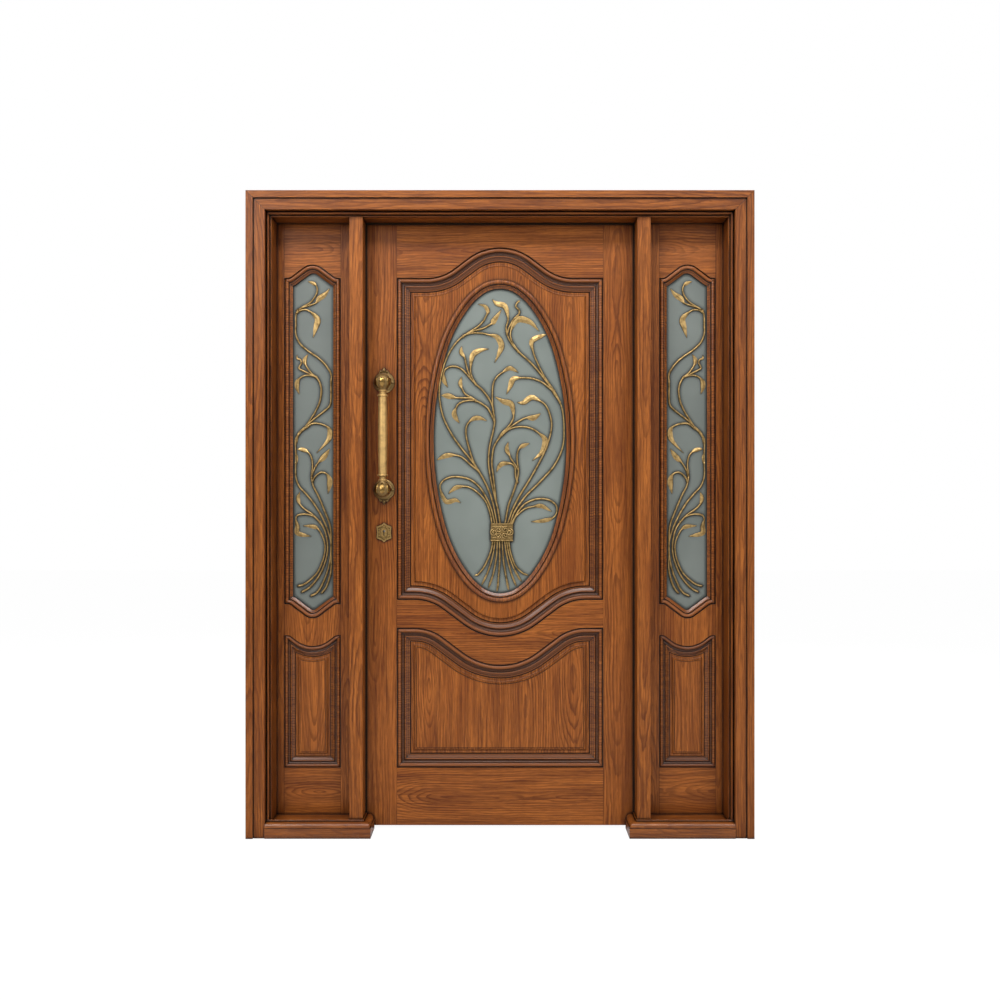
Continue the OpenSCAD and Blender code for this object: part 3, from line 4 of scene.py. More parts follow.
import bmesh
import bpy
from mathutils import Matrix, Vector


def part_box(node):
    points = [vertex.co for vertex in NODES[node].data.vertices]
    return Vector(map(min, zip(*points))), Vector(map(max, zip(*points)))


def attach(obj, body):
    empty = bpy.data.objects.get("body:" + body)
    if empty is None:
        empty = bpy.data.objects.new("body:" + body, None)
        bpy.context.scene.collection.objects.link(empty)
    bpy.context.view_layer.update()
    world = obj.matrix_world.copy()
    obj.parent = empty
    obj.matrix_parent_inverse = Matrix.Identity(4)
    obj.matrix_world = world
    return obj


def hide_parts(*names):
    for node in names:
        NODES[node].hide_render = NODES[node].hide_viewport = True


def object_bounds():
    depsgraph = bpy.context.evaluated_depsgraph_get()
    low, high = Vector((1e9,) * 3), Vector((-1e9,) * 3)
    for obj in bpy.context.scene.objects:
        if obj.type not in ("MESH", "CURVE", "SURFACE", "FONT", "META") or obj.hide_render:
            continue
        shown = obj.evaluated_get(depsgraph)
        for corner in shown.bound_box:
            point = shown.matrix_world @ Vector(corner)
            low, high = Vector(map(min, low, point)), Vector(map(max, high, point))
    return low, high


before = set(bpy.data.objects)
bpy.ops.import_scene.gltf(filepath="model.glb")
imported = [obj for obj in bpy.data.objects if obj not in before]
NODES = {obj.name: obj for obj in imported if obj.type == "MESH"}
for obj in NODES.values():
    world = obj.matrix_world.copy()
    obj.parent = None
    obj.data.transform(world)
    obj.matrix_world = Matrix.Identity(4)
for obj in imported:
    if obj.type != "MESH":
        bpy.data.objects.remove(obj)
scene = bpy.context.scene


def corners(b):
    return [list(map(float, p)) for p in b]


CAD_BOX = corners(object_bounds())
FRAME_X, FRAME_H = CAD_BOX[1][0], CAD_BOX[1][2]
random.seed(7)

# The camera looks square on to the middle of the leaf, with no shift.
EYE = (0.0, -3.825, 1.152)
LENS = 39.2                     # mm
SENSOR = 36.0                   # mm

cam = bpy.data.cameras.new("camera")
cam.sensor_width = SENSOR
cam.lens = LENS
cam_ob = bpy.data.objects.new("camera", cam)
cam_ob.location = EYE
cam_ob.rotation_euler = (math.radians(90), 0, 0)
scene.collection.objects.link(cam_ob)
scene.camera = cam_ob


class Net:
    """Short calls for building one node tree."""

    def __init__(self, tree):
        self.t = tree
        self.n = 0

    def node(self, kind, **values):
        x = self.t.nodes.new(kind)
        x.location = (200 * (self.n % 12), -260 * (self.n // 12))
        self.n += 1
        for k, v in values.items():
            setattr(x, k, v)
        return x

    def put(self, socket, value):
        if isinstance(value, bpy.types.NodeSocket):
            self.t.links.new(value, socket)
        else:
            socket.default_value = value

    def math(self, op, a, b=0.0, c=0.0, clamp=False):
        x = self.node("ShaderNodeMath", operation=op, use_clamp=clamp)
        for s, v in zip(x.inputs, (a, b, c)):
            self.put(s, v)
        return x.outputs[0]

    def vec(self, op, a, b):
        x = self.node("ShaderNodeVectorMath", operation=op)
        self.put(x.inputs[0], a)
        self.put(x.inputs[1], b)
        return x.outputs[0]

    def noise(self, vector, scale=1.0, detail=3.0, rough=0.55):
        x = self.node("ShaderNodeTexNoise")
        self.put(x.inputs["Vector"], vector)
        x.inputs["Scale"].default_value = scale
        x.inputs["Detail"].default_value = detail
        x.inputs["Roughness"].default_value = rough
        return x.outputs["Fac"]

    def ramp(self, value, *stops):
        x = self.node("ShaderNodeValToRGB")
        self.put(x.inputs[0], value)
        e = x.color_ramp.elements
        while len(e) > len(stops):
            e.remove(e[-1])
        while len(e) < len(stops):
            e.new(0.5)
        for s, (pos, v) in zip(e, stops):
            s.position = pos
            s.color = (v, v, v, 1) if isinstance(v, (int, float)) else (*v, 1)
        return x.outputs["Color"]

    def mix(self, fac, a, b):
        x = self.node("ShaderNodeMix", data_type="RGBA")
        self.put(x.inputs["Factor"], fac)
        ins = [s for s in x.inputs if s.type == "RGBA"]
        for s, v in zip(ins, (a, b)):
            self.put(s, v if isinstance(v, bpy.types.NodeSocket) else (*v, 1))
        return [s for s in x.outputs if s.type == "RGBA"][0]

    def split(self, v):
        x = self.node("ShaderNodeSeparateXYZ")
        self.put(x.inputs[0], v)
        return x.outputs

    def join(self, x, y, z):
        n = self.node("ShaderNodeCombineXYZ")
        for s, v in zip(n.inputs, (x, y, z)):
            self.put(s, v)
        return n.outputs[0]

    def stretch(self, parts, scales):
        """The vector of three parts, each times its own scale."""
        return self.join(*(self.math("MULTIPLY", p, k)
                           for p, k in zip(parts, scales)))

    def hollow(self, distance, samples=6):
        """1 in the open, towards 0 in a quirk or a joint."""
        x = self.node("ShaderNodeAmbientOcclusion", samples=samples)
        x.inputs["Distance"].default_value = distance
        return x.outputs["AO"]

    def bump(self, height, strength, distance):
        x = self.node("ShaderNodeBump")
        x.inputs["Strength"].default_value = strength
        x.inputs["Distance"].default_value = distance
        self.put(x.inputs["Height"], height)
        return x.outputs["Normal"]


def new_material(name):
    m = bpy.data.materials.new(name)
    m.use_nodes = True
    m.node_tree.nodes.clear()
    net = Net(m.node_tree)
    out = net.node("ShaderNodeOutputMaterial")
    bsdf = net.node("ShaderNodeBsdfPrincipled")
    net.put(out.inputs["Surface"], bsdf.outputs[0])
    return m, net, bsdf


# Oak, seen on faces sawn near the heart. The rings lie round an axis behind
# the board that leans a little, so that they come out as long arches.
OAK_PALE = (0.500, 0.158, 0.025)
OAK_MID = (0.320, 0.088, 0.011)
OAK_DEEP = (0.088, 0.019, 0.002)
OAK_LINE = (0.006, 0.002, 0.0006)

# how fine each figure is across the board, through it and along the grain
WANDER = (1.0, 1.0, 0.35)
TREMOR = (30.0, 30.0, 9.0)
PATCHES = (5.0, 1.0, 1.2)
BANDS = (85.0, 25.0, 3.2)
FIBRES = (210.0, 60.0, 5.0)
PORES = (760.0, 200.0, 26.0)
CLOUDS = (6.0, 6.0, 1.0)
RINGS_PER_METRE = 120.0
JOINT_LINE = 0.0011             # half the width of a joint's dark line
BOARD_APART = 3.17              # metres between two boards in the same log
STAVE_APART = 5.37
END_APART = (0.31, 0.0, 0.77)   # moves an end piece to its own timber


def timber(name, centre, grain, tone=0.0, heart=0.045, lean=1.0, seed=0,
           ends=None, shoulder=None, mitre=False, stave=0.0, gloss=0.10,
           swing=0.16, cove=0.011):
    """One board. centre is its middle and grain the axis its fibres follow.
    tone darkens it, or makes it paler below 0. heart is how far behind the
    face the rings' axis lies, lean how often the fibres cross the rings, and
    swing how far. stave is the width of the boards of a glued panel, gloss
    the varnish, and cove the reach of the painted shade in the quirks.
    ends = (half width, low z, high z, x) turns the fibres in the end pieces
    of a mitred frame. shoulder = (half length, x) draws the joints at a
    rail's ends, and mitre the casing's."""
    m, net, bsdf = new_material(name)
    at = net.node("ShaderNodeTexCoord").outputs["Object"]
    p = net.split(net.vec("SUBTRACT", at, tuple(centre)))
    upright = net.join(p[0], p[1], p[2])
    across = net.join(p[2], p[1], p[0])
    q = net.split(at)
    seam = None
    if shoulder:
        half, x = shoulder
        seam = net.math("SUBTRACT", half, net.math(
            "ABSOLUTE", net.math("SUBTRACT", q[0], x)))
    if mitre:
        seam = net.math("SUBTRACT", net.math(
            "SUBTRACT", FRAME_X, net.math("ABSOLUTE", q[0])),
            net.math("SUBTRACT", FRAME_H, q[2]))
    if ends:
        half, low, high, x = ends
        dx = net.math("SUBTRACT", half,
                      net.math("ABSOLUTE", net.math("SUBTRACT", q[0], x)))
        dz = net.math("MINIMUM", net.math("SUBTRACT", high, q[2]),
                      net.math("SUBTRACT", q[2], low))
        is_end = net.math("GREATER_THAN", dx, dz)
        seam = net.math("SUBTRACT", dx, dz)
        v = net.node("ShaderNodeMix", data_type="VECTOR")
        net.put(v.inputs["Factor"], is_end)
        vin = [s for s in v.inputs if s.type == "VECTOR"]
        net.put(vin[0], upright)
        net.put(vin[1], net.vec("ADD", across, END_APART))
        v = [s for s in v.outputs if s.type == "VECTOR"][0]
    else:
        v = upright if grain == "z" else across
    v = net.vec("ADD", v, (0.0, 0.0, seed * BOARD_APART))
    s = net.split(v)

    if stave:
        # a wide panel is glued up from staves, each with its own figure
        count = net.math("FLOOR", net.math("DIVIDE", s[0], stave))
        own = net.math("MULTIPLY", count, STAVE_APART)
        s = net.split(net.join(
            net.math("SUBTRACT", s[0], net.math(
                "MULTIPLY", net.math("ADD", count, 0.5), stave)),
            s[1], net.math("ADD", s[2], own)))

    # slow wander of the fibres
    slow = net.noise(net.stretch(s, WANDER), 3.2, 2.0, 0.5)
    slow = net.math("SUBTRACT", slow, 0.5)
    fine = net.noise(net.stretch(s, TREMOR), 1.0, 3.0, 0.6)
    fine = net.math("SUBTRACT", fine, 0.5)
    # the saw comes near the heart here and there, which opens long arches
    depth = net.noise(net.join(0.0, 0.0, s[2]), lean, 1.0, 0.5)
    depth = net.math("MULTIPLY", net.math("SUBTRACT", depth, 0.5), swing)
    x = net.math("ADD", s[0], net.math("MULTIPLY", slow, 0.05))
    y = net.math("ADD", net.math("ADD", s[1], heart), depth)
    radius = net.math("SQRT", net.math(
        "ADD", net.math("MULTIPLY", x, x), net.math("MULTIPLY", y, y)))
    radius = net.math("ADD", radius, net.math("MULTIPLY", slow, 0.030))
    radius = net.math("ADD", radius, net.math("MULTIPLY", fine, 0.013))
    rings = net.math("FRACT", net.math("MULTIPLY", radius, RINGS_PER_METRE))
    rings = net.ramp(rings, (0.0, 0.0), (0.50, 0.10), (0.78, 0.90),
                     (0.92, 1.0), (1.0, 0.0))
    some = net.noise(net.stretch(s, PATCHES), 1.0, 2.0, 0.6)
    rings = net.math("MULTIPLY", rings, net.ramp(
        some, (0.34, 0.10), (0.60, 1.0)))
    band = net.noise(net.stretch((x, s[1], s[2]), BANDS), 1.0, 3.0, 0.6)

    # fibres and open pores, long along the grain
    fibre = net.noise(net.stretch((x, s[1], s[2]), FIBRES), 1.0, 4.0, 0.65)
    pore = net.noise(net.stretch(s, PORES), 1.0, 2.0, 0.5)
    pore = net.ramp(pore, (0.0, 1.0), (0.40, 0.85), (0.50, 0.0), (1.0, 0.0))
    cloud = net.noise(net.stretch(s, CLOUDS), 1.6, 3.0, 0.55)

    body = net.ramp(cloud, (0.30, OAK_MID), (0.50, OAK_PALE), (0.75, OAK_MID))
    body = net.mix(net.math("MULTIPLY", rings, 0.80, clamp=True), body,
                   OAK_DEEP)
    body = net.mix(net.ramp(band, (0.30, 0.50), (0.52, 0.10), (0.70, 0.0)),
                   body, OAK_DEEP)
    body = net.mix(net.ramp(fibre, (0.30, 0.95), (0.50, 0.30), (0.68, 0.0)),
                   body, OAK_DEEP)
    body = net.mix(net.math("MULTIPLY", pore, 0.50), body, OAK_DEEP)
    if tone > 0:
        body = net.mix(tone, body, OAK_DEEP)
    elif tone < 0:
        body = net.mix(-tone, body, OAK_PALE)
    # painted shade that gathers in quirks and joints, within cove, and wider painted shade
    # in recesses such as under the head
    near = net.hollow(cove)
    wide = net.hollow(0.07, 4)
    body = net.mix(net.ramp(wide, (0.15, 0.80), (0.60, 0.28), (0.95, 0.0)),
                   body, OAK_DEEP)
    body = net.mix(net.ramp(near, (0.36, 1.0), (0.66, 0.74), (0.91, 0.0)),
                   body, OAK_LINE)
    if seam:
        seam = net.math("LESS_THAN", net.math("ABSOLUTE", seam), JOINT_LINE)
        body = net.mix(net.math("MULTIPLY", seam, 0.8), body, OAK_LINE)
    net.put(bsdf.inputs["Base Color"], body)
    rough = net.math("ADD", 0.34, net.math("MULTIPLY", fibre, 0.16))
    net.put(bsdf.inputs["Roughness"], rough)
    bsdf.inputs["Specular IOR Level"].default_value = 0.22
    bsdf.inputs["Coat Weight"].default_value = gloss
    bsdf.inputs["Coat Roughness"].default_value = 0.16
    height = net.math("SUBTRACT", fibre, net.math("MULTIPLY", pore, 0.8))
    net.put(bsdf.inputs["Normal"], net.bump(height, 0.35, 0.0006))
    return m


def dress(node, material):
    ob = NODES[node]
    if not ob.data.materials:
        ob.data.materials.append(material)
    for i in range(len(ob.data.materials)):
        ob.data.materials[i] = material


def middle(node):
    lo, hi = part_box(node)
    return (Vector(lo) + Vector(hi)) / 2


# how much darker each board is than the leaf, or paler below 0
TONES = {
    "casing_left": 0.18, "casing_right": 0.20, "casing_head": 0.20,
    # the jambs and the head jamb line the reveal, and their extra darkness is painted
    # shade
    "jamb_left": 0.30, "jamb_right": 0.28, "head_jamb": 0.34,
    "mullion_left": 0.02, "mullion_right": 0.05,
    "sill_left": 0.10, "sill_right": 0.08,
    "hinge_stile": -0.04, "lock_stile": 0.04, "top_rail": 0.02,
    "lock_rail": 0.05, "bottom_rail": 0.0, "upper_panel": 0.0,
    "lower_panel": 0.0, "upper_moulding": 0.22, "lower_moulding": 0.20,
    "oval_moulding": 0.18, "left_panel": -0.08, "right_panel": -0.06,
    "left_panel_moulding": 0.18, "right_panel_moulding": 0.16,
    "left_glass_moulding": 0.08, "right_glass_moulding": 0.08,
}
ACROSS = ("casing_head", "head_jamb", "sill_left", "sill_right", "top_rail",
          "lock_rail", "bottom_rail")
# mouldings with mitred end pieces, and how far their arched ends reach
# from the lowest and the highest point to the springing
ENDS = {
    "upper_moulding": (0.130, 0.107), "lower_moulding": (0.0, 0.0),
    "left_panel_moulding": (0.0, 0.0), "right_panel_moulding": (0.0, 0.0),
    "left_glass_moulding": (0.050, 0.047),
    "right_glass_moulding": (0.050, 0.047),
}
WOOD = [n for n, ob in NODES.items() if any(
    m and m.name.split(".")[0].startswith("oak") for m in ob.data.materials)]


def box_ends(node):
    lo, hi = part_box(node)
    dip, rise = ENDS[node]
    return ((hi[0] - lo[0]) / 2, lo[2] + dip, hi[2] - rise,
            (lo[0] + hi[0]) / 2)


def shoulder(node):
    if node in ("top_rail", "lock_rail", "bottom_rail"):
        return (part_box("upper_moulding")[1][0], 0.0)
    if node.endswith("_rail"):
        side = node.split("_")[0]
        lo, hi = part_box(side + "_glass_moulding")
        return ((hi[0] - lo[0]) / 2, (lo[0] + hi[0]) / 2)
    return None


for i, n in enumerate(sorted(WOOD)):
    dress(n, timber(
        "timber_" + n, middle(n) + Vector((random.uniform(-0.02, 0.02), 0, 0)),
        "x" if n.endswith(ACROSS) else "z", TONES.get(n, 0.0),
        heart=random.uniform(0.020, 0.060), lean=random.uniform(0.9, 1.5),
        seed=i + 1, ends=box_ends(n) if n in ENDS else None,
        shoulder=shoulder(n), mitre=n.startswith("casing"),
        stave=0.17 if n in ("upper_panel", "lower_panel") else 0.0,
        gloss=0.46 if n.endswith("moulding") or n.startswith("sill")
        else 0.07, cove=0.020 if n.endswith("moulding") else 0.011,
        swing=0.32 if n.endswith(("panel", "rail")) else 0.15))


def frosted(name, depth):
    """Frosted glass, with painted shadow where something lies close to it,
    and wider painted shade near its frame. depth is how light it is."""
    m, net, bsdf = new_material(name)
    at = net.node("ShaderNodeTexCoord").outputs["Object"]
    cloud = net.noise(at, 3.0, 3.0, 0.55)
    grit = net.noise(at, 420.0, 2.0, 0.6)
    low = tuple(depth * c for c in (0.195, 0.226, 0.205))
    high = tuple(depth * c for c in (0.268, 0.305, 0.278))
    pane = net.ramp(cloud, (0.30, low), (0.70, high))
    # painted shadow: near-black where a stem or a moulding lies within 12 mm of the glass
    painted_shadow = net.ramp(net.hollow(0.012, 10), (0.50, 0.98), (0.86, 0.72),
                     (0.985, 0.0))
    # painted shade: the pane darkens where other parts lie within 60 mm
    wide = net.ramp(net.hollow(0.06, 6), (0.40, 0.75), (0.95, 0.0))
    pane = net.mix(wide, pane, tuple(0.35 * c for c in low))
    net.put(bsdf.inputs["Base Color"], net.mix(
        painted_shadow, pane, (0.012, 0.013, 0.010)))
    net.put(bsdf.inputs["Roughness"], net.math(
        "ADD", 0.34, net.math("MULTIPLY", grit, 0.22)))
    bsdf.inputs["Transmission Weight"].default_value = 0.10
    bsdf.inputs["IOR"].default_value = 1.5
    net.put(bsdf.inputs["Normal"], net.bump(grit, 0.12, 0.0004))
    return m


GLASS = frosted("frosted_glass", 0.82)
# The side panes are darker than the oval's pane: painted shade of their deeper reveal.
SHADED_SIDE_GLASS = frosted("side_glass", 0.66)


def metal(name, bright, deep, rough, patina, reach=0.010, mottle=38.0,
          metallic=1.0, span=None):
    """Worn metal: deep gathers in hollows within reach, and in mottled spots
    as strong as patina. Only the heights in span are bright, where given."""
    m, net, bsdf = new_material(name)
    at = net.node("ShaderNodeTexCoord").outputs["Object"]
    cloud = net.noise(at, mottle, 4.0, 0.6)
    grit = net.noise(at, 900.0, 2.0, 0.5)
    near = net.hollow(reach)
    dark = net.math("ADD", net.ramp(near, (0.30, 1.0), (0.80, 0.0)),
                    net.ramp(cloud, (0.44, 0.0), (0.70, patina)), clamp=True)
    if span:
        # handling keeps the middle of a grip bright
        z = net.split(at)[2]
        held = net.math("MULTIPLY", net.math("GREATER_THAN", z, span[0]),
                        net.math("LESS_THAN", z, span[1]))
        bright = net.mix(held, tuple(0.42 * c for c in bright), bright)
    net.put(bsdf.inputs["Base Color"], net.mix(dark, bright, deep))
    net.put(bsdf.inputs["Roughness"], net.math(
        "ADD", rough, net.math("MULTIPLY", dark, 0.22)))
    bsdf.inputs["Metallic"].default_value = metallic
    height = net.math("ADD", cloud, net.math("MULTIPLY", grit, 0.3))
    net.put(bsdf.inputs["Normal"], net.bump(height, 0.18, 0.0006))
    return m


BRASS = metal("antique_brass", (0.62, 0.42, 0.17), (0.060, 0.034, 0.012),
              0.40, 0.55)
KNOB_INSET = 0.053              # from a pull's end to its knob's middle
GRIP_INSET = 0.082              # and to where the grip starts
low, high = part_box("outer_pull")
PULL = metal("pull_brass", (0.66, 0.42, 0.155), (0.060, 0.032, 0.010),
             0.42, 0.40, metallic=0.72,
             span=(low[2] + GRIP_INSET, high[2] - GRIP_INSET))
KNOB = metal("knob_brass", (0.36, 0.22, 0.070), (0.020, 0.010, 0.003),
             0.26, 0.50, 0.007)
PLATE = metal("plate_brass", (0.52, 0.33, 0.12), (0.016, 0.009, 0.003),
              0.34, 0.45, 0.009, 120.0)
# On the vine the dark within reach is patina, and painted contact shadow where the stems
# meet the glass.
VINE = metal("vine_brass", (0.50, 0.34, 0.14), (0.030, 0.016, 0.006),
             0.44, 0.62, 0.007, 60.0)
COLLAR = metal("collar_brass", (0.36, 0.24, 0.095), (0.035, 0.020, 0.008),
               0.42, 0.60, 0.004, 160.0)
STEEL = metal("steel", (0.42, 0.42, 0.41), (0.14, 0.13, 0.12), 0.38, 0.2)


def rubber(name):
    m, net, bsdf = new_material(name)
    at = net.node("ShaderNodeTexCoord").outputs["Object"]
    net.put(bsdf.inputs["Base Color"], net.ramp(
        net.noise(at, 160.0), (0.3, (0.010, 0.006, 0.003)),
        (0.7, (0.018, 0.011, 0.006))))
    bsdf.inputs["Roughness"].default_value = 0.85
    bsdf.inputs["Specular IOR Level"].default_value = 0.15
    net.put(bsdf.inputs["Normal"], net.bump(net.noise(at, 700.0), 0.2, 0.0004))
    return m


dress("oval_glass", GLASS)
for n in ("left_glass", "right_glass"):
    dress(n, SHADED_SIDE_GLASS)
for n in ("lock_case", "pull_studs"):
    dress(n, STEEL)
dress("door_seal", rubber("seal"))
for n in ("strike_plate", "frame_screws", "hinge_frame_leaves", "hinge_pins",
          "hinge_door_leaves", "leaf_screws", "lock_forend", "deadbolt"):
    dress(n, BRASS)
for n in ("outer_pull", "inner_pull"):
    dress(n, PULL)
for n in ("outer_escutcheon", "inner_escutcheon"):
    dress(n, PLATE)
dress("vine_collar", COLLAR)

# The vines follow the same routes as the part's own, with round stems, a
# midrib on every blade and finer steps. Each stroke is the points of its
# stem, the points of its blade and the blade's width, in mm from the middle
# of the glass. A knot is where stems part.
OVAL_STROKES = [
  [[[-24, -300], [-29, -286], [-35, -253], [-50, -213], [-76, -184],
    [-104, -165], [-130, -160]], [[-158, -166], [-182, -186]], 15],
  [[[-17, -300], [-20, -286], [-29, -245], [-47, -202], [-72, -163],
    [-104, -137], [-140, -127], [-173, -127], [-202, -141], [-212, -166]],
    [[-191, -213], [-158, -209], [-139, -218]], 17],
  [[[-9, -300], [-12, -286], [-19, -245], [-32, -195], [-53, -145],
    [-76, -105], [-104, -65], [-133, -29], [-169, 21], [-198, 79],
    [-212, 136], [-214, 187], [-205, 241], [-187, 295], [-162, 338],
    [-130, 370], [-97, 381], [-61, 380], [-40, 375]],
    [[-11, 367], [5, 338], [-4, 309], [-19, 277]], 22],
  [[[-130, 370], [-104, 387], [-79, 403], [-58, 424], [-47, 446]],
    [[-43, 460], [-54, 476], [-77, 483]], 14],
  [[[-130, 370], [-97, 387], [-61, 397], [-32, 413]],
    [[-22, 424], [5, 464]], 20],
  [[[-76, -105], [-94, -73], [-108, -29], [-119, 14], [-119, 50],
    [-108, 68]], [[-90, 80], [-68, 80], [-47, 71]], 16],
  [[[-76, -105], [-104, -83], [-133, -58], [-158, -50]],
    [[-191, -52], [-222, -67]], 18],
  [[[0, -300], [-1, -286], [-7, -245], [-19, -195], [-32, -137], [-40, -80],
    [-37, -22], [-24, 35], [-19, 71], [-24, 107], [-27, 151], [-24, 201],
    [-11, 226], [11, 244]], [[36, 257], [65, 241]], 15],
  [[[-20, 71], [-36, 104], [-50, 122], [-86, 142], [-119, 142],
    [-144, 133], [-155, 118]], [[-162, 97], [-155, 79], [-143, 64]], 18],
  [[[-86, 142], [-97, 151], [-126, 152], [-155, 153]],
    [[-184, 159], [-207, 161]], 20],
  [[[-86, 142], [-101, 154], [-122, 165], [-135, 187]],
    [[-140, 205], [-135, 226]], 14],
  [[[-24, 107], [-27, 125], [-40, 151], [-61, 179], [-86, 201],
    [-112, 230], [-137, 255], [-166, 264], [-191, 255], [-199, 237]],
    [[-198, 215], [-185, 190]], 16],
  [[[-86, 201], [-101, 230], [-104, 259]],
    [[-97, 302], [-72, 320], [-40, 325]], 20],
  [[[-104, 223], [-108, 233], [-119, 266], [-125, 295]],
    [[-137, 313], [-135, 334]], 14],
  [[[-14, -215], [-24, -123], [-29, -80], [-24, -29], [-11, -1], [7, 21],
    [36, 43], [76, 51], [112, 44], [137, 28]],
    [[158, 7], [158, -19], [144, -44], [114, -69]], 24],
  [[[-4, 10], [7, 28], [29, 50], [43, 71], [48, 89]],
    [[40, 129], [11, 140], [-17, 156]], 22],
  [[[7, 21], [22, 37], [47, 57], [76, 75], [94, 82]],
    [[119, 82], [143, 97]], 20],
  [[[16, -300], [19, -286], [29, -231], [47, -181], [58, -145], [65, -109],
    [61, -73], [61, -44], [68, -26]], [[83, -16], [104, -9]], 14],
  [[[61, -145], [55, -123], [53, -94], [40, -80]],
    [[11, -80], [-4, -91], [-12, -110]], 16],
  [[[62, -101], [58, -90], [40, -65], [34, -51]],
    [[24, -29], [29, -4]], 15],
  [[[24, -300], [29, -286], [43, -245], [68, -195], [104, -137],
    [144, -65], [169, -8], [182, 50], [176, 93], [162, 125], [144, 140]],
    [[112, 154], [83, 136], [61, 136]], 20],
  [[[30, -300], [37, -286], [54, -245], [90, -195], [140, -145],
    [191, -87], [221, -22], [226, 43], [222, 100], [212, 136], [191, 176],
    [155, 230], [130, 280], [117, 316]],
    [[112, 352], [144, 370], [164, 376]], 18],
  [[[212, 136], [184, 179], [155, 222], [112, 273], [65, 316], [40, 345],
    [25, 377], [22, 403], [29, 431]],
    [[18, 475], [-11, 485], [-27, 500]], 20],
  [[[65, 316], [55, 330], [40, 356], [38, 388]],
    [[61, 428], [104, 421], [138, 388]], 24],
  [[[25, 377], [32, 399], [47, 428], [68, 449], [66, 464], [55, 475],
    [61, 489]], [[66, 493], [71, 496]], 5],
  [[[191, 176], [176, 186], [148, 208], [112, 221], [76, 223]],
    [[47, 219], [36, 194], [23, 166]], 20],
  [[[34, -300], [43, -284], [61, -260], [90, -238], [119, -231]],
    [[148, -230], [182, -249]], 15],
  [[[38, -300], [48, -282], [61, -253], [90, -220], [133, -204],
    [173, -208], [198, -227], [200, -253], [187, -271]],
    [[155, -281], [110, -285]], 14],
  [[[-24, -343], [-32, -389], [-54, -440], [-76, -469]],
    [[-84, -473], [-90, -474]], 5],
  [[[-17, -343], [-24, -397], [-40, -454]], [[-58, -494], [-65, -508]], 5],
  [[[-10, -343], [-12, -404], [-24, -469]], [[-36, -505], [-41, -519]], 5],
  [[[-2, -343], [-1, -418], [-5, -476]], [[-9, -519], [-12, -531]], 5],
  [[[7, -343], [12, -418], [21, -476]], [[28, -515], [31, -526]], 5],
  [[[15, -343], [24, -404], [38, -461]], [[53, -501], [58, -512]], 5],
  [[[22, -343], [31, -397], [48, -447]], [[68, -485], [77, -496]], 5],
  [[[30, -343], [36, -389], [54, -440], [79, -465]],
    [[90, -471], [101, -474]], 5]
]
OVAL_KNOTS = [
  [-76, -105], [-130, 370], [-20, 71], [-86, 142], [-24, 107], [-86, 201],
  [7, 21], [61, -145], [212, 136], [65, 316], [25, 377], [191, 176]
]
SIDE_STROKES = [
  [[[73, 211], [63, 238], [40, 273], [11, 299], [-19, 319], [-48, 346],
    [-65, 378], [-73, 413], [-71, 437], [-57, 460], [-36, 475], [-12, 489],
    [6, 510], [14, 533], [10, 549]], [[-1, 558], [-19, 564]], 12],
  [[[-54, 463], [-36, 473], [-12, 480], [8, 488]],
    [[20, 504], [40, 518], [60, 539]], 20],
  [[[-64, 449], [-50, 460], [-30, 465], [-10, 457]],
    [[14, 431], [8, 401], [-1, 366]], 22],
  [[[73, 211], [75, 185], [70, 156], [58, 126], [34, 103], [6, 82],
    [-23, 56], [-53, 27], [-68, -8], [-72, -40]],
    [[-73, -58], [-73, -77]], 5],
  [[[11, 226], [22, 208], [28, 179], [22, 138], [6, 103], [-12, 74],
    [-29, 50], [-53, 21]], [[-61, 10], [-66, -6]], 5],
  [[[11, 226], [-7, 232], [-30, 232], [-48, 223]],
    [[-62, 208], [-58, 188], [-50, 167]], 18],
  [[[11, 226], [-7, 240], [-26, 267]], [[-31, 287], [-20, 307]], 14],
  [[[11, 226], [-30, 246], [-51, 258], [-42, 276], [-45, 287]],
    [[-58, 293], [-67, 305]], 5],
  [[[-29, 44], [-6, 62], [22, 62], [46, 53]],
    [[61, 39], [64, 17], [46, -4], [11, -41]], 20],
  [[[-56, -510], [-38, -507], [-12, -490], [18, -457], [38, -405],
    [41, -364], [32, -335], [18, -311]], [[0, -301], [-36, -298]], 14],
  [[[-42, -532], [-12, -514], [23, -470], [46, -411], [50, -364],
    [41, -317], [23, -285], [0, -264], [-29, -257], [-56, -261],
    [-66, -276]], [[-68, -299], [-57, -323], [-29, -332], [-8, -335]], 18],
  [[[23, -285], [15, -276], [-6, -256], [-29, -241], [-47, -223]],
    [[-54, -200], [-47, -179]], 13],
  [[[-10, -546], [18, -528], [46, -470], [60, -411], [62, -358],
    [50, -311], [29, -264], [0, -217], [-29, -182], [-50, -159],
    [-67, -124], [-73, -77], [-72, -30], [-62, 11], [-32, 44]],
    [[-22, 55], [-15, 68]], 5],
  [[[28, -536], [46, -512], [64, -457], [68, -393], [66, -335],
    [58, -294], [40, -247], [18, -194], [0, -159], [-6, -133],
    [-6, -112], [-3, -89], [-6, -59], [-18, -39]],
    [[-38, -29], [-63, -27]], 14],
  [[[-6, -124], [-3, -112], [6, -92], [18, -74]],
    [[38, -54], [60, -27]], 20],
  [[[-3, -144], [0, -134], [12, -118], [29, -109], [47, -115]],
    [[63, -136], [56, -159], [51, -185]], 20]
]
SIDE_KNOTS = [
  [73, 211], [-56, 461], [11, 226], [-29, 46], [-53, 24], [23, -285],
  [-6, -128], [-71, -77]
]

STEM = 0.0064                   # how thick a stem is
STEM_STEP, BLADE_STEP = 9.0, 4.0        # mm from ring to ring
BLADE_ROOM = 5                  # mm that blades stay within a stem's reach
SIDES = 12                      # faces round a stem
OVAL_REACH, SIDE_REACH = 230.8, 62.3    # mm to either side of the middle


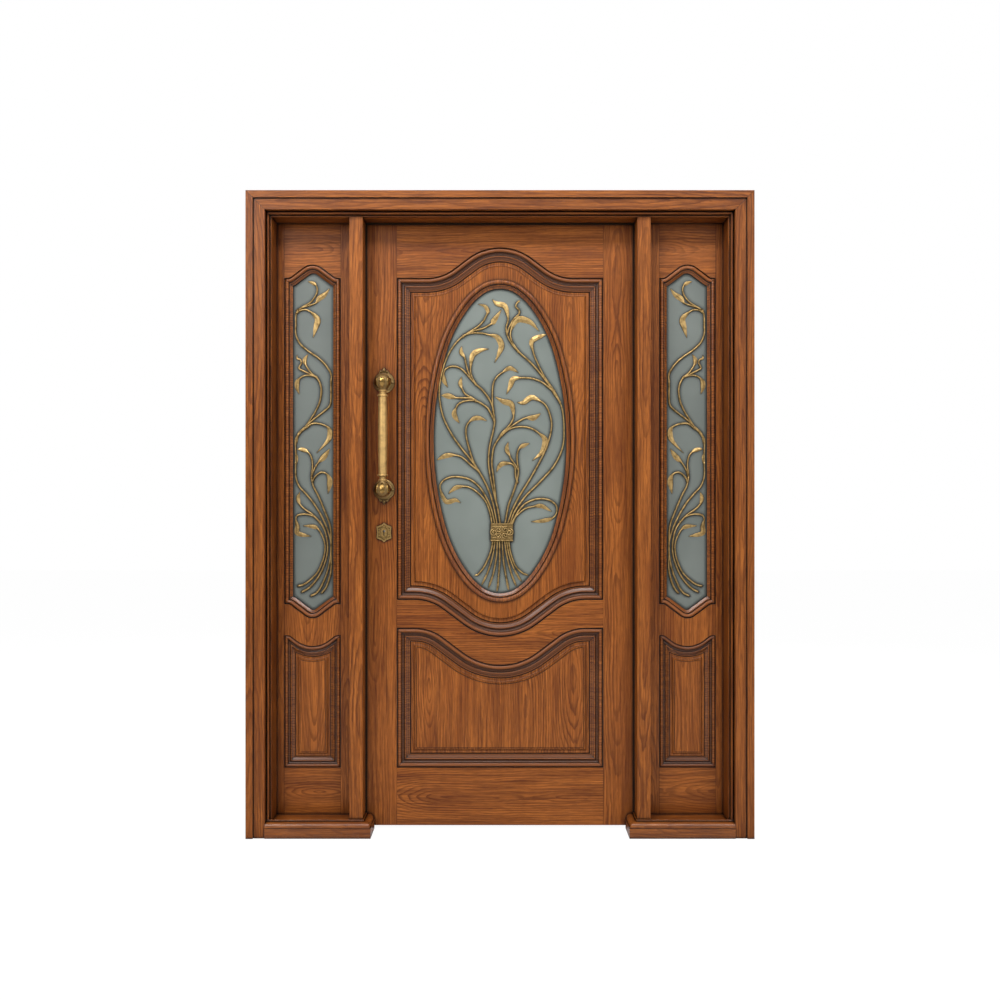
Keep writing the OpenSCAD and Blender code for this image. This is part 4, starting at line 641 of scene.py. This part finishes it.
def spline(p, i, t):
    n = len(p) - 1
    a, b = p[max(i - 1, 0)], p[i]
    c, d = p[i + 1], p[min(i + 2, n)]
    return Vector([0.5 * (2 * b[k] + (c[k] - a[k]) * t
                          + (2 * a[k] - 5 * b[k] + 4 * c[k] - d[k]) * t * t
                          + (3 * b[k] - a[k] - 3 * c[k] + d[k]) * t ** 3)
                   for k in (0, 1)])


def stroke(bm, s, reach, twist):
    """One stem with its blade, in metres, laid on the plane z = 0. twist is
    the side on which the blade stands up."""
    room = [reach] * len(s[0]) + [reach - BLADE_ROOM] * len(s[1])
    p = [[max(-r, min(r, q[0])) / 1000, q[1] / 1000]
         for q, r in zip(s[0] + s[1], room)]
    stem_n, last = len(s[0]) - 1, len(s[0]) + len(s[1]) - 1
    at = []
    for i in range(last):
        span = math.dist(p[i], p[i + 1]) * 1000
        n = max(1, round(span / STEM_STEP)) if i < stem_n else max(
            7, round(span / BLADE_STEP))
        at += [(i, k / n) for k in range(n)]
    at.append((last - 1, 1.0))
    c = [spline(p, *q) for q in at]
    rings = []
    blade = s[2] / 1000
    for i, q in enumerate(at):
        d = c[min(i + 1, len(c) - 1)] - c[max(i - 1, 0)]
        d.normalize()
        side = Vector((-d.y, d.x))
        pos = q[0] + q[1]
        u = (pos - stem_n) / (last - stem_n)
        thin = STEM / 2
        if u <= 0:
            w = thin * (1.10 - 0.22 * pos / stem_n)
            t = STEM * (0.95 - 0.25 * pos / stem_n)
            leaf = 0.0
        else:
            swell = math.sin(math.pi * min(1.0, u) ** 0.92)
            w = max(0.0006, 0.75 * thin * (1 - u)
                    + blade * 0.43 * max(0.0, swell) ** 1.15)
            t = STEM * (0.7 - 0.4 * u)
            leaf = min(1.0, u * 5) * min(1.0, (1 - u) * 6 + 0.15)
        ring = []
        for k in range(SIDES + 1):
            a = math.pi * k / SIDES
            x = math.cos(a)
            round_h = math.sin(a) ** 0.8
            rib = (0.42 + 0.34 * x * twist + 0.34 * max(
                0.0, 1 - abs(x) * 4.5)) * (1 - abs(x) ** 9)
            h = t * ((1 - leaf) * round_h + leaf * rib * 1.25)
            ring.append(bm.verts.new((c[i].x + side.x * w * x,
                                      c[i].y + side.y * w * x,
                                      max(0.0, min(t, h)))))
        rings.append(ring)
    for a, b in zip(rings, rings[1:]):
        for k in range(SIDES):
            bm.faces.new((a[k], a[k + 1], b[k + 1], b[k]))
        bm.faces.new((a[SIDES], a[0], b[0], b[SIDES]))
    bm.faces.new(rings[0][::-1])
    bm.faces.new(rings[-1])


def bulb(bm, x, y, r, h):
    """A small forged swelling where stems part."""
    made = bmesh.ops.create_uvsphere(bm, u_segments=16, v_segments=10,
                                     radius=1.0)
    for v in made["verts"]:
        v.co = Vector((x + v.co.x * r, y + v.co.y * r * 1.35,
                       max(0.0, v.co.z) * h))


def brass_piece(bm, name, material):
    """The mesh becomes an object with its own material."""
    bmesh.ops.recalc_face_normals(bm, faces=bm.faces)
    me = bpy.data.meshes.new(name)
    bm.to_mesh(me)
    bm.free()
    for f in me.polygons:
        f.use_smooth = True
    ob = bpy.data.objects.new(name, me)
    scene.collection.objects.link(ob)
    me.materials.append(material)
    return ob


def vine(name, strokes, knots, centre, reach, mirror, node, body):
    bm = bmesh.new()
    for i, s in enumerate(strokes):
        stroke(bm, s, reach, 1 if i % 3 else -1)
    for k in knots:
        bulb(bm, max(-reach, min(reach, k[0])) / 1000, k[1] / 1000,
             STEM * 0.70, STEM)
    # laid flat (x, y, height) becomes (x, -height, z) on the glass
    for v in bm.verts:
        x, z, h = v.co
        v.co = (centre[0] + (-x if mirror else x), GLASS_Y - h, centre[2] + z)
    ob = brass_piece(bm, name, VINE)
    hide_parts(node)
    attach(ob, body)


GLASS_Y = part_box("oval_glass")[0][1]
SIDE_MID_Z = 1.359
vine("oval_vine_forged", OVAL_STROKES, OVAL_KNOTS, middle("oval_glass"),
     OVAL_REACH, False, "oval_vine", "leaf")
for side, mirror in (("left", False), ("right", True)):
    c = middle(side + "_glass")
    c.z = SIDE_MID_Z
    vine(side + "_vine_forged", SIDE_STROKES, SIDE_KNOTS, c, SIDE_REACH,
         mirror, side + "_vine", "frame")


def bead_line(bm, path, r, y, sides=8):
    """A half-sunk round wire along (x, z) points, on the plane y."""
    rings = []
    n = len(path)
    for i, (x, z) in enumerate(path):
        a, b = path[max(i - 1, 0)], path[min(i + 1, n - 1)]
        d = Vector((b[0] - a[0], b[1] - a[1]))
        d.normalize()
        rr = r * min(1.0, 0.45 + 0.25 * min(i, n - 1 - i))
        ring = []
        for k in range(sides):
            t = 2 * math.pi * k / sides
            o, h = math.cos(t) * rr, math.sin(t) * rr
            ring.append(bm.verts.new((x - d.y * o, y - h, z + d.x * o)))
        rings.append(ring)
    for a, b in zip(rings, rings[1:]):
        for k in range(sides):
            bm.faces.new((a[k], a[(k + 1) % sides], b[(k + 1) % sides], b[k]))
    bm.faces.new(rings[0][::-1])
    bm.faces.new(rings[-1])


def scroll(x, z, r, turns, start, hand, steps=40):
    """A spiral that opens from its eye out to the radius r."""
    out = []
    for i in range(steps + 1):
        u = i / steps
        a = start + hand * turns * 2 * math.pi * (1 - u)
        q = r * (0.16 + 0.84 * u)
        out.append((x + q * math.cos(a), z + q * math.sin(a)))
    return out


# The collar: four small scrolls, a larger one at each end, and two wires.
# Places are shares of its half width w and half height h.
lo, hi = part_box("vine_collar")
cx, cz = (lo[0] + hi[0]) / 2, (lo[2] + hi[2]) / 2
w, h = (hi[0] - lo[0]) / 2, (hi[2] - lo[2]) / 2
face = lo[1]
bm = bmesh.new()
for hand in (-1, 1):
    for up in (-1, 1):
        bead_line(bm, scroll(cx + hand * w * 0.30, cz + up * h * 0.33,
                             h * 0.34, 1.5, math.pi / 2 * up, hand * up),
                  0.0022, face)
    bead_line(bm, scroll(cx + hand * w * 0.72, cz, h * 0.42, 1.6,
                         math.pi / 2, -hand), 0.0025, face)
for z in (-0.62, 0.62):
    bead_line(bm, [(cx - w * 0.93 + 1.86 * w * i / 12, cz + z * h)
                   for i in range(13)], 0.0014, face)
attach(brass_piece(bm, "collar_scrolls", VINE), "leaf")

KNOB_R = 0.0275
PETALS = 6
PETAL_THICK = 0.0012
PETAL_SUNK = 0.0007             # how far its rim lies under the ball's skin
NECK, LAP = 26, 98              # degrees from the axis, and from there on
PETAL_HALF = 24.0               # degrees to either side of its midrib
TIP_FROM = 0.62                 # where it starts to narrow to its tip


def petal(bm, c, turn, hand, proud, across=8, along=14):
    """One leaf of a knob: it grows from the neck and laps over the ball, and
    stays inside the part's box."""
    rows = []
    for i in range(along + 1):
        u = i / along
        polar = math.radians(NECK + LAP * u)
        tip = max(0.0, (u - TIP_FROM) / (1 - TIP_FROM))
        half = math.radians(PETAL_HALF) * min(
            1.0, 0.55 + 0.9 * u) * math.sqrt(max(0.0, 1 - tip ** 2))
        row = []
        for k in range(across + 1):
            v = 2 * k / across - 1
            rim = min(1.0, 3.2 * (1 - abs(v))) * min(1.0, 6 * (1 - u) + 0.01)
            crown = proud * (0.0010 + 0.0022 * abs(v) ** 2 + 0.0014 * max(
                0.0, 1 - abs(v) * 5))
            q = KNOB_R - PETAL_SUNK + (PETAL_SUNK + crown) * rim
            a = turn + v * half
            row.append(bm.verts.new((
                c[0] + q * math.sin(polar) * math.sin(a),
                min(c[1] - q * math.sin(polar) * math.cos(a),
                    CAD_BOX[1][1] - 2 * PETAL_THICK),
                c[2] + hand * q * math.cos(polar))))
        rows.append(row)
    for a, b in zip(rows, rows[1:]):
        for k in range(across):
            bm.faces.new((a[k], a[k + 1], b[k + 1], b[k]))


lo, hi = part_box("outer_pull")
PULL_X = (lo[0] + hi[0]) / 2
for name, knob_y, proud in (
        ("outer_pull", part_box("outer_pull")[0][1] + KNOB_R, 1.0),
        ("inner_pull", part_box("inner_pull")[1][1] - KNOB_R - PETAL_THICK,
         0.6)):
    lo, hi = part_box(name)
    bm = bmesh.new()
    for z, hand in ((lo[2] + KNOB_INSET, 1), (hi[2] - KNOB_INSET, -1)):
        for k in range(PETALS):
            petal(bm, (PULL_X, knob_y, z), math.radians(360 / PETALS * k),
                  hand, proud)
    ob = brass_piece(bm, name + "_petals", KNOB)
    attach(ob, "leaf")
    solid = ob.modifiers.new("thickness", "SOLIDIFY")
    solid.thickness = PETAL_THICK
    solid.offset = -1

scene.view_settings.view_transform = "Standard"


def area(name, at, aim, size, power):
    """A soft light at a point, aimed at another, of a size and power."""
    d = bpy.data.lights.new(name, "AREA")
    d.shape = "RECTANGLE"
    d.size, d.size_y = size
    d.energy = power
    ob = bpy.data.objects.new(name, d)
    ob.location = at
    ob.rotation_euler = (Vector(aim) - Vector(at)).to_track_quat(
        "-Z", "Y").to_euler()
    scene.collection.objects.link(ob)


area("top", (0, -2.7, 4.3), (0, 0, 1.1), (4.6, 0.7), 135)
area("key", (-2.3, -3.6, 3.0), (0, 0, 1.0), (1.6, 1.6), 56)
area("fill", (2.6, -3.6, 2.2), (0, 0, 1.0), (2.4, 2.4), 30)
area("back", (0.6, 3.6, 3.2), (0, 0, 1.1), (2.6, 1.8), 130)


def choose(net, fac, a, b):
    x = net.node("ShaderNodeMixShader")
    for socket, value in zip(x.inputs, (fac, a, b)):
        net.put(socket, value)
    return x.outputs[0]


# The world is a soft light that is stronger from above, white where it is
# seen, and a plain studio in the metal and the glass.
world = bpy.data.worlds.new("studio")
scene.world = world
world.use_nodes = True
world.node_tree.nodes.clear()
net = Net(world.node_tree)
ray = net.node("ShaderNodeLightPath")
seen = net.math("MAXIMUM", ray.outputs["Is Camera Ray"],
                ray.outputs["Is Transmission Ray"])
at = net.split(net.node("ShaderNodeTexCoord").outputs["Generated"])
lit = net.node("ShaderNodeBackground")
net.put(lit.inputs["Strength"], net.math(
    "ADD", 0.44, net.math("MULTIPLY", at[2], 0.16)))
white = net.node("ShaderNodeBackground")
white.inputs["Color"].default_value = (1, 1, 1, 1)
white.inputs["Strength"].default_value = 1.0
gloss = net.node("ShaderNodeBackground")
net.put(gloss.inputs["Strength"], net.ramp(
    at[2], (0.0, 0.25), (0.25, 0.45), (0.75, 1.0)))
pick = choose(net, ray.outputs["Is Glossy Ray"], lit.outputs[0],
              gloss.outputs[0])
out = net.node("ShaderNodeOutputWorld")
net.put(out.inputs["Surface"], choose(net, seen, pick, white.outputs[0]))

# The floor keeps the shadow, and is close to white where it is seen.
FLOOR_HALF = 14.0
FLOOR_GAP = 0.0008
bm = bmesh.new()
bmesh.ops.create_grid(bm, x_segments=8, y_segments=8, size=FLOOR_HALF)
me = bpy.data.meshes.new("floor")
bm.to_mesh(me)
bm.free()
floor = bpy.data.objects.new("floor", me)
floor.location = (0, 0, -FLOOR_GAP)
scene.collection.objects.link(floor)
m, net, bsdf = new_material("floor")
net.t.nodes.remove(bsdf)
ray = net.node("ShaderNodeLightPath")
plain = net.node("ShaderNodeBsdfDiffuse")
plain.inputs["Color"].default_value = (0.80, 0.80, 0.80, 1)
glow = net.node("ShaderNodeEmission")
glow.inputs["Color"].default_value = (1, 1, 1, 1)
glow.inputs["Strength"].default_value = 1.06
fac = net.math("MULTIPLY", ray.outputs["Is Camera Ray"], 0.90)
out = [x for x in net.t.nodes if x.type == "OUTPUT_MATERIAL"][0]
net.put(out.inputs["Surface"], choose(net, fac, plain.outputs[0],
                                      glow.outputs[0]))
me.materials.append(m)
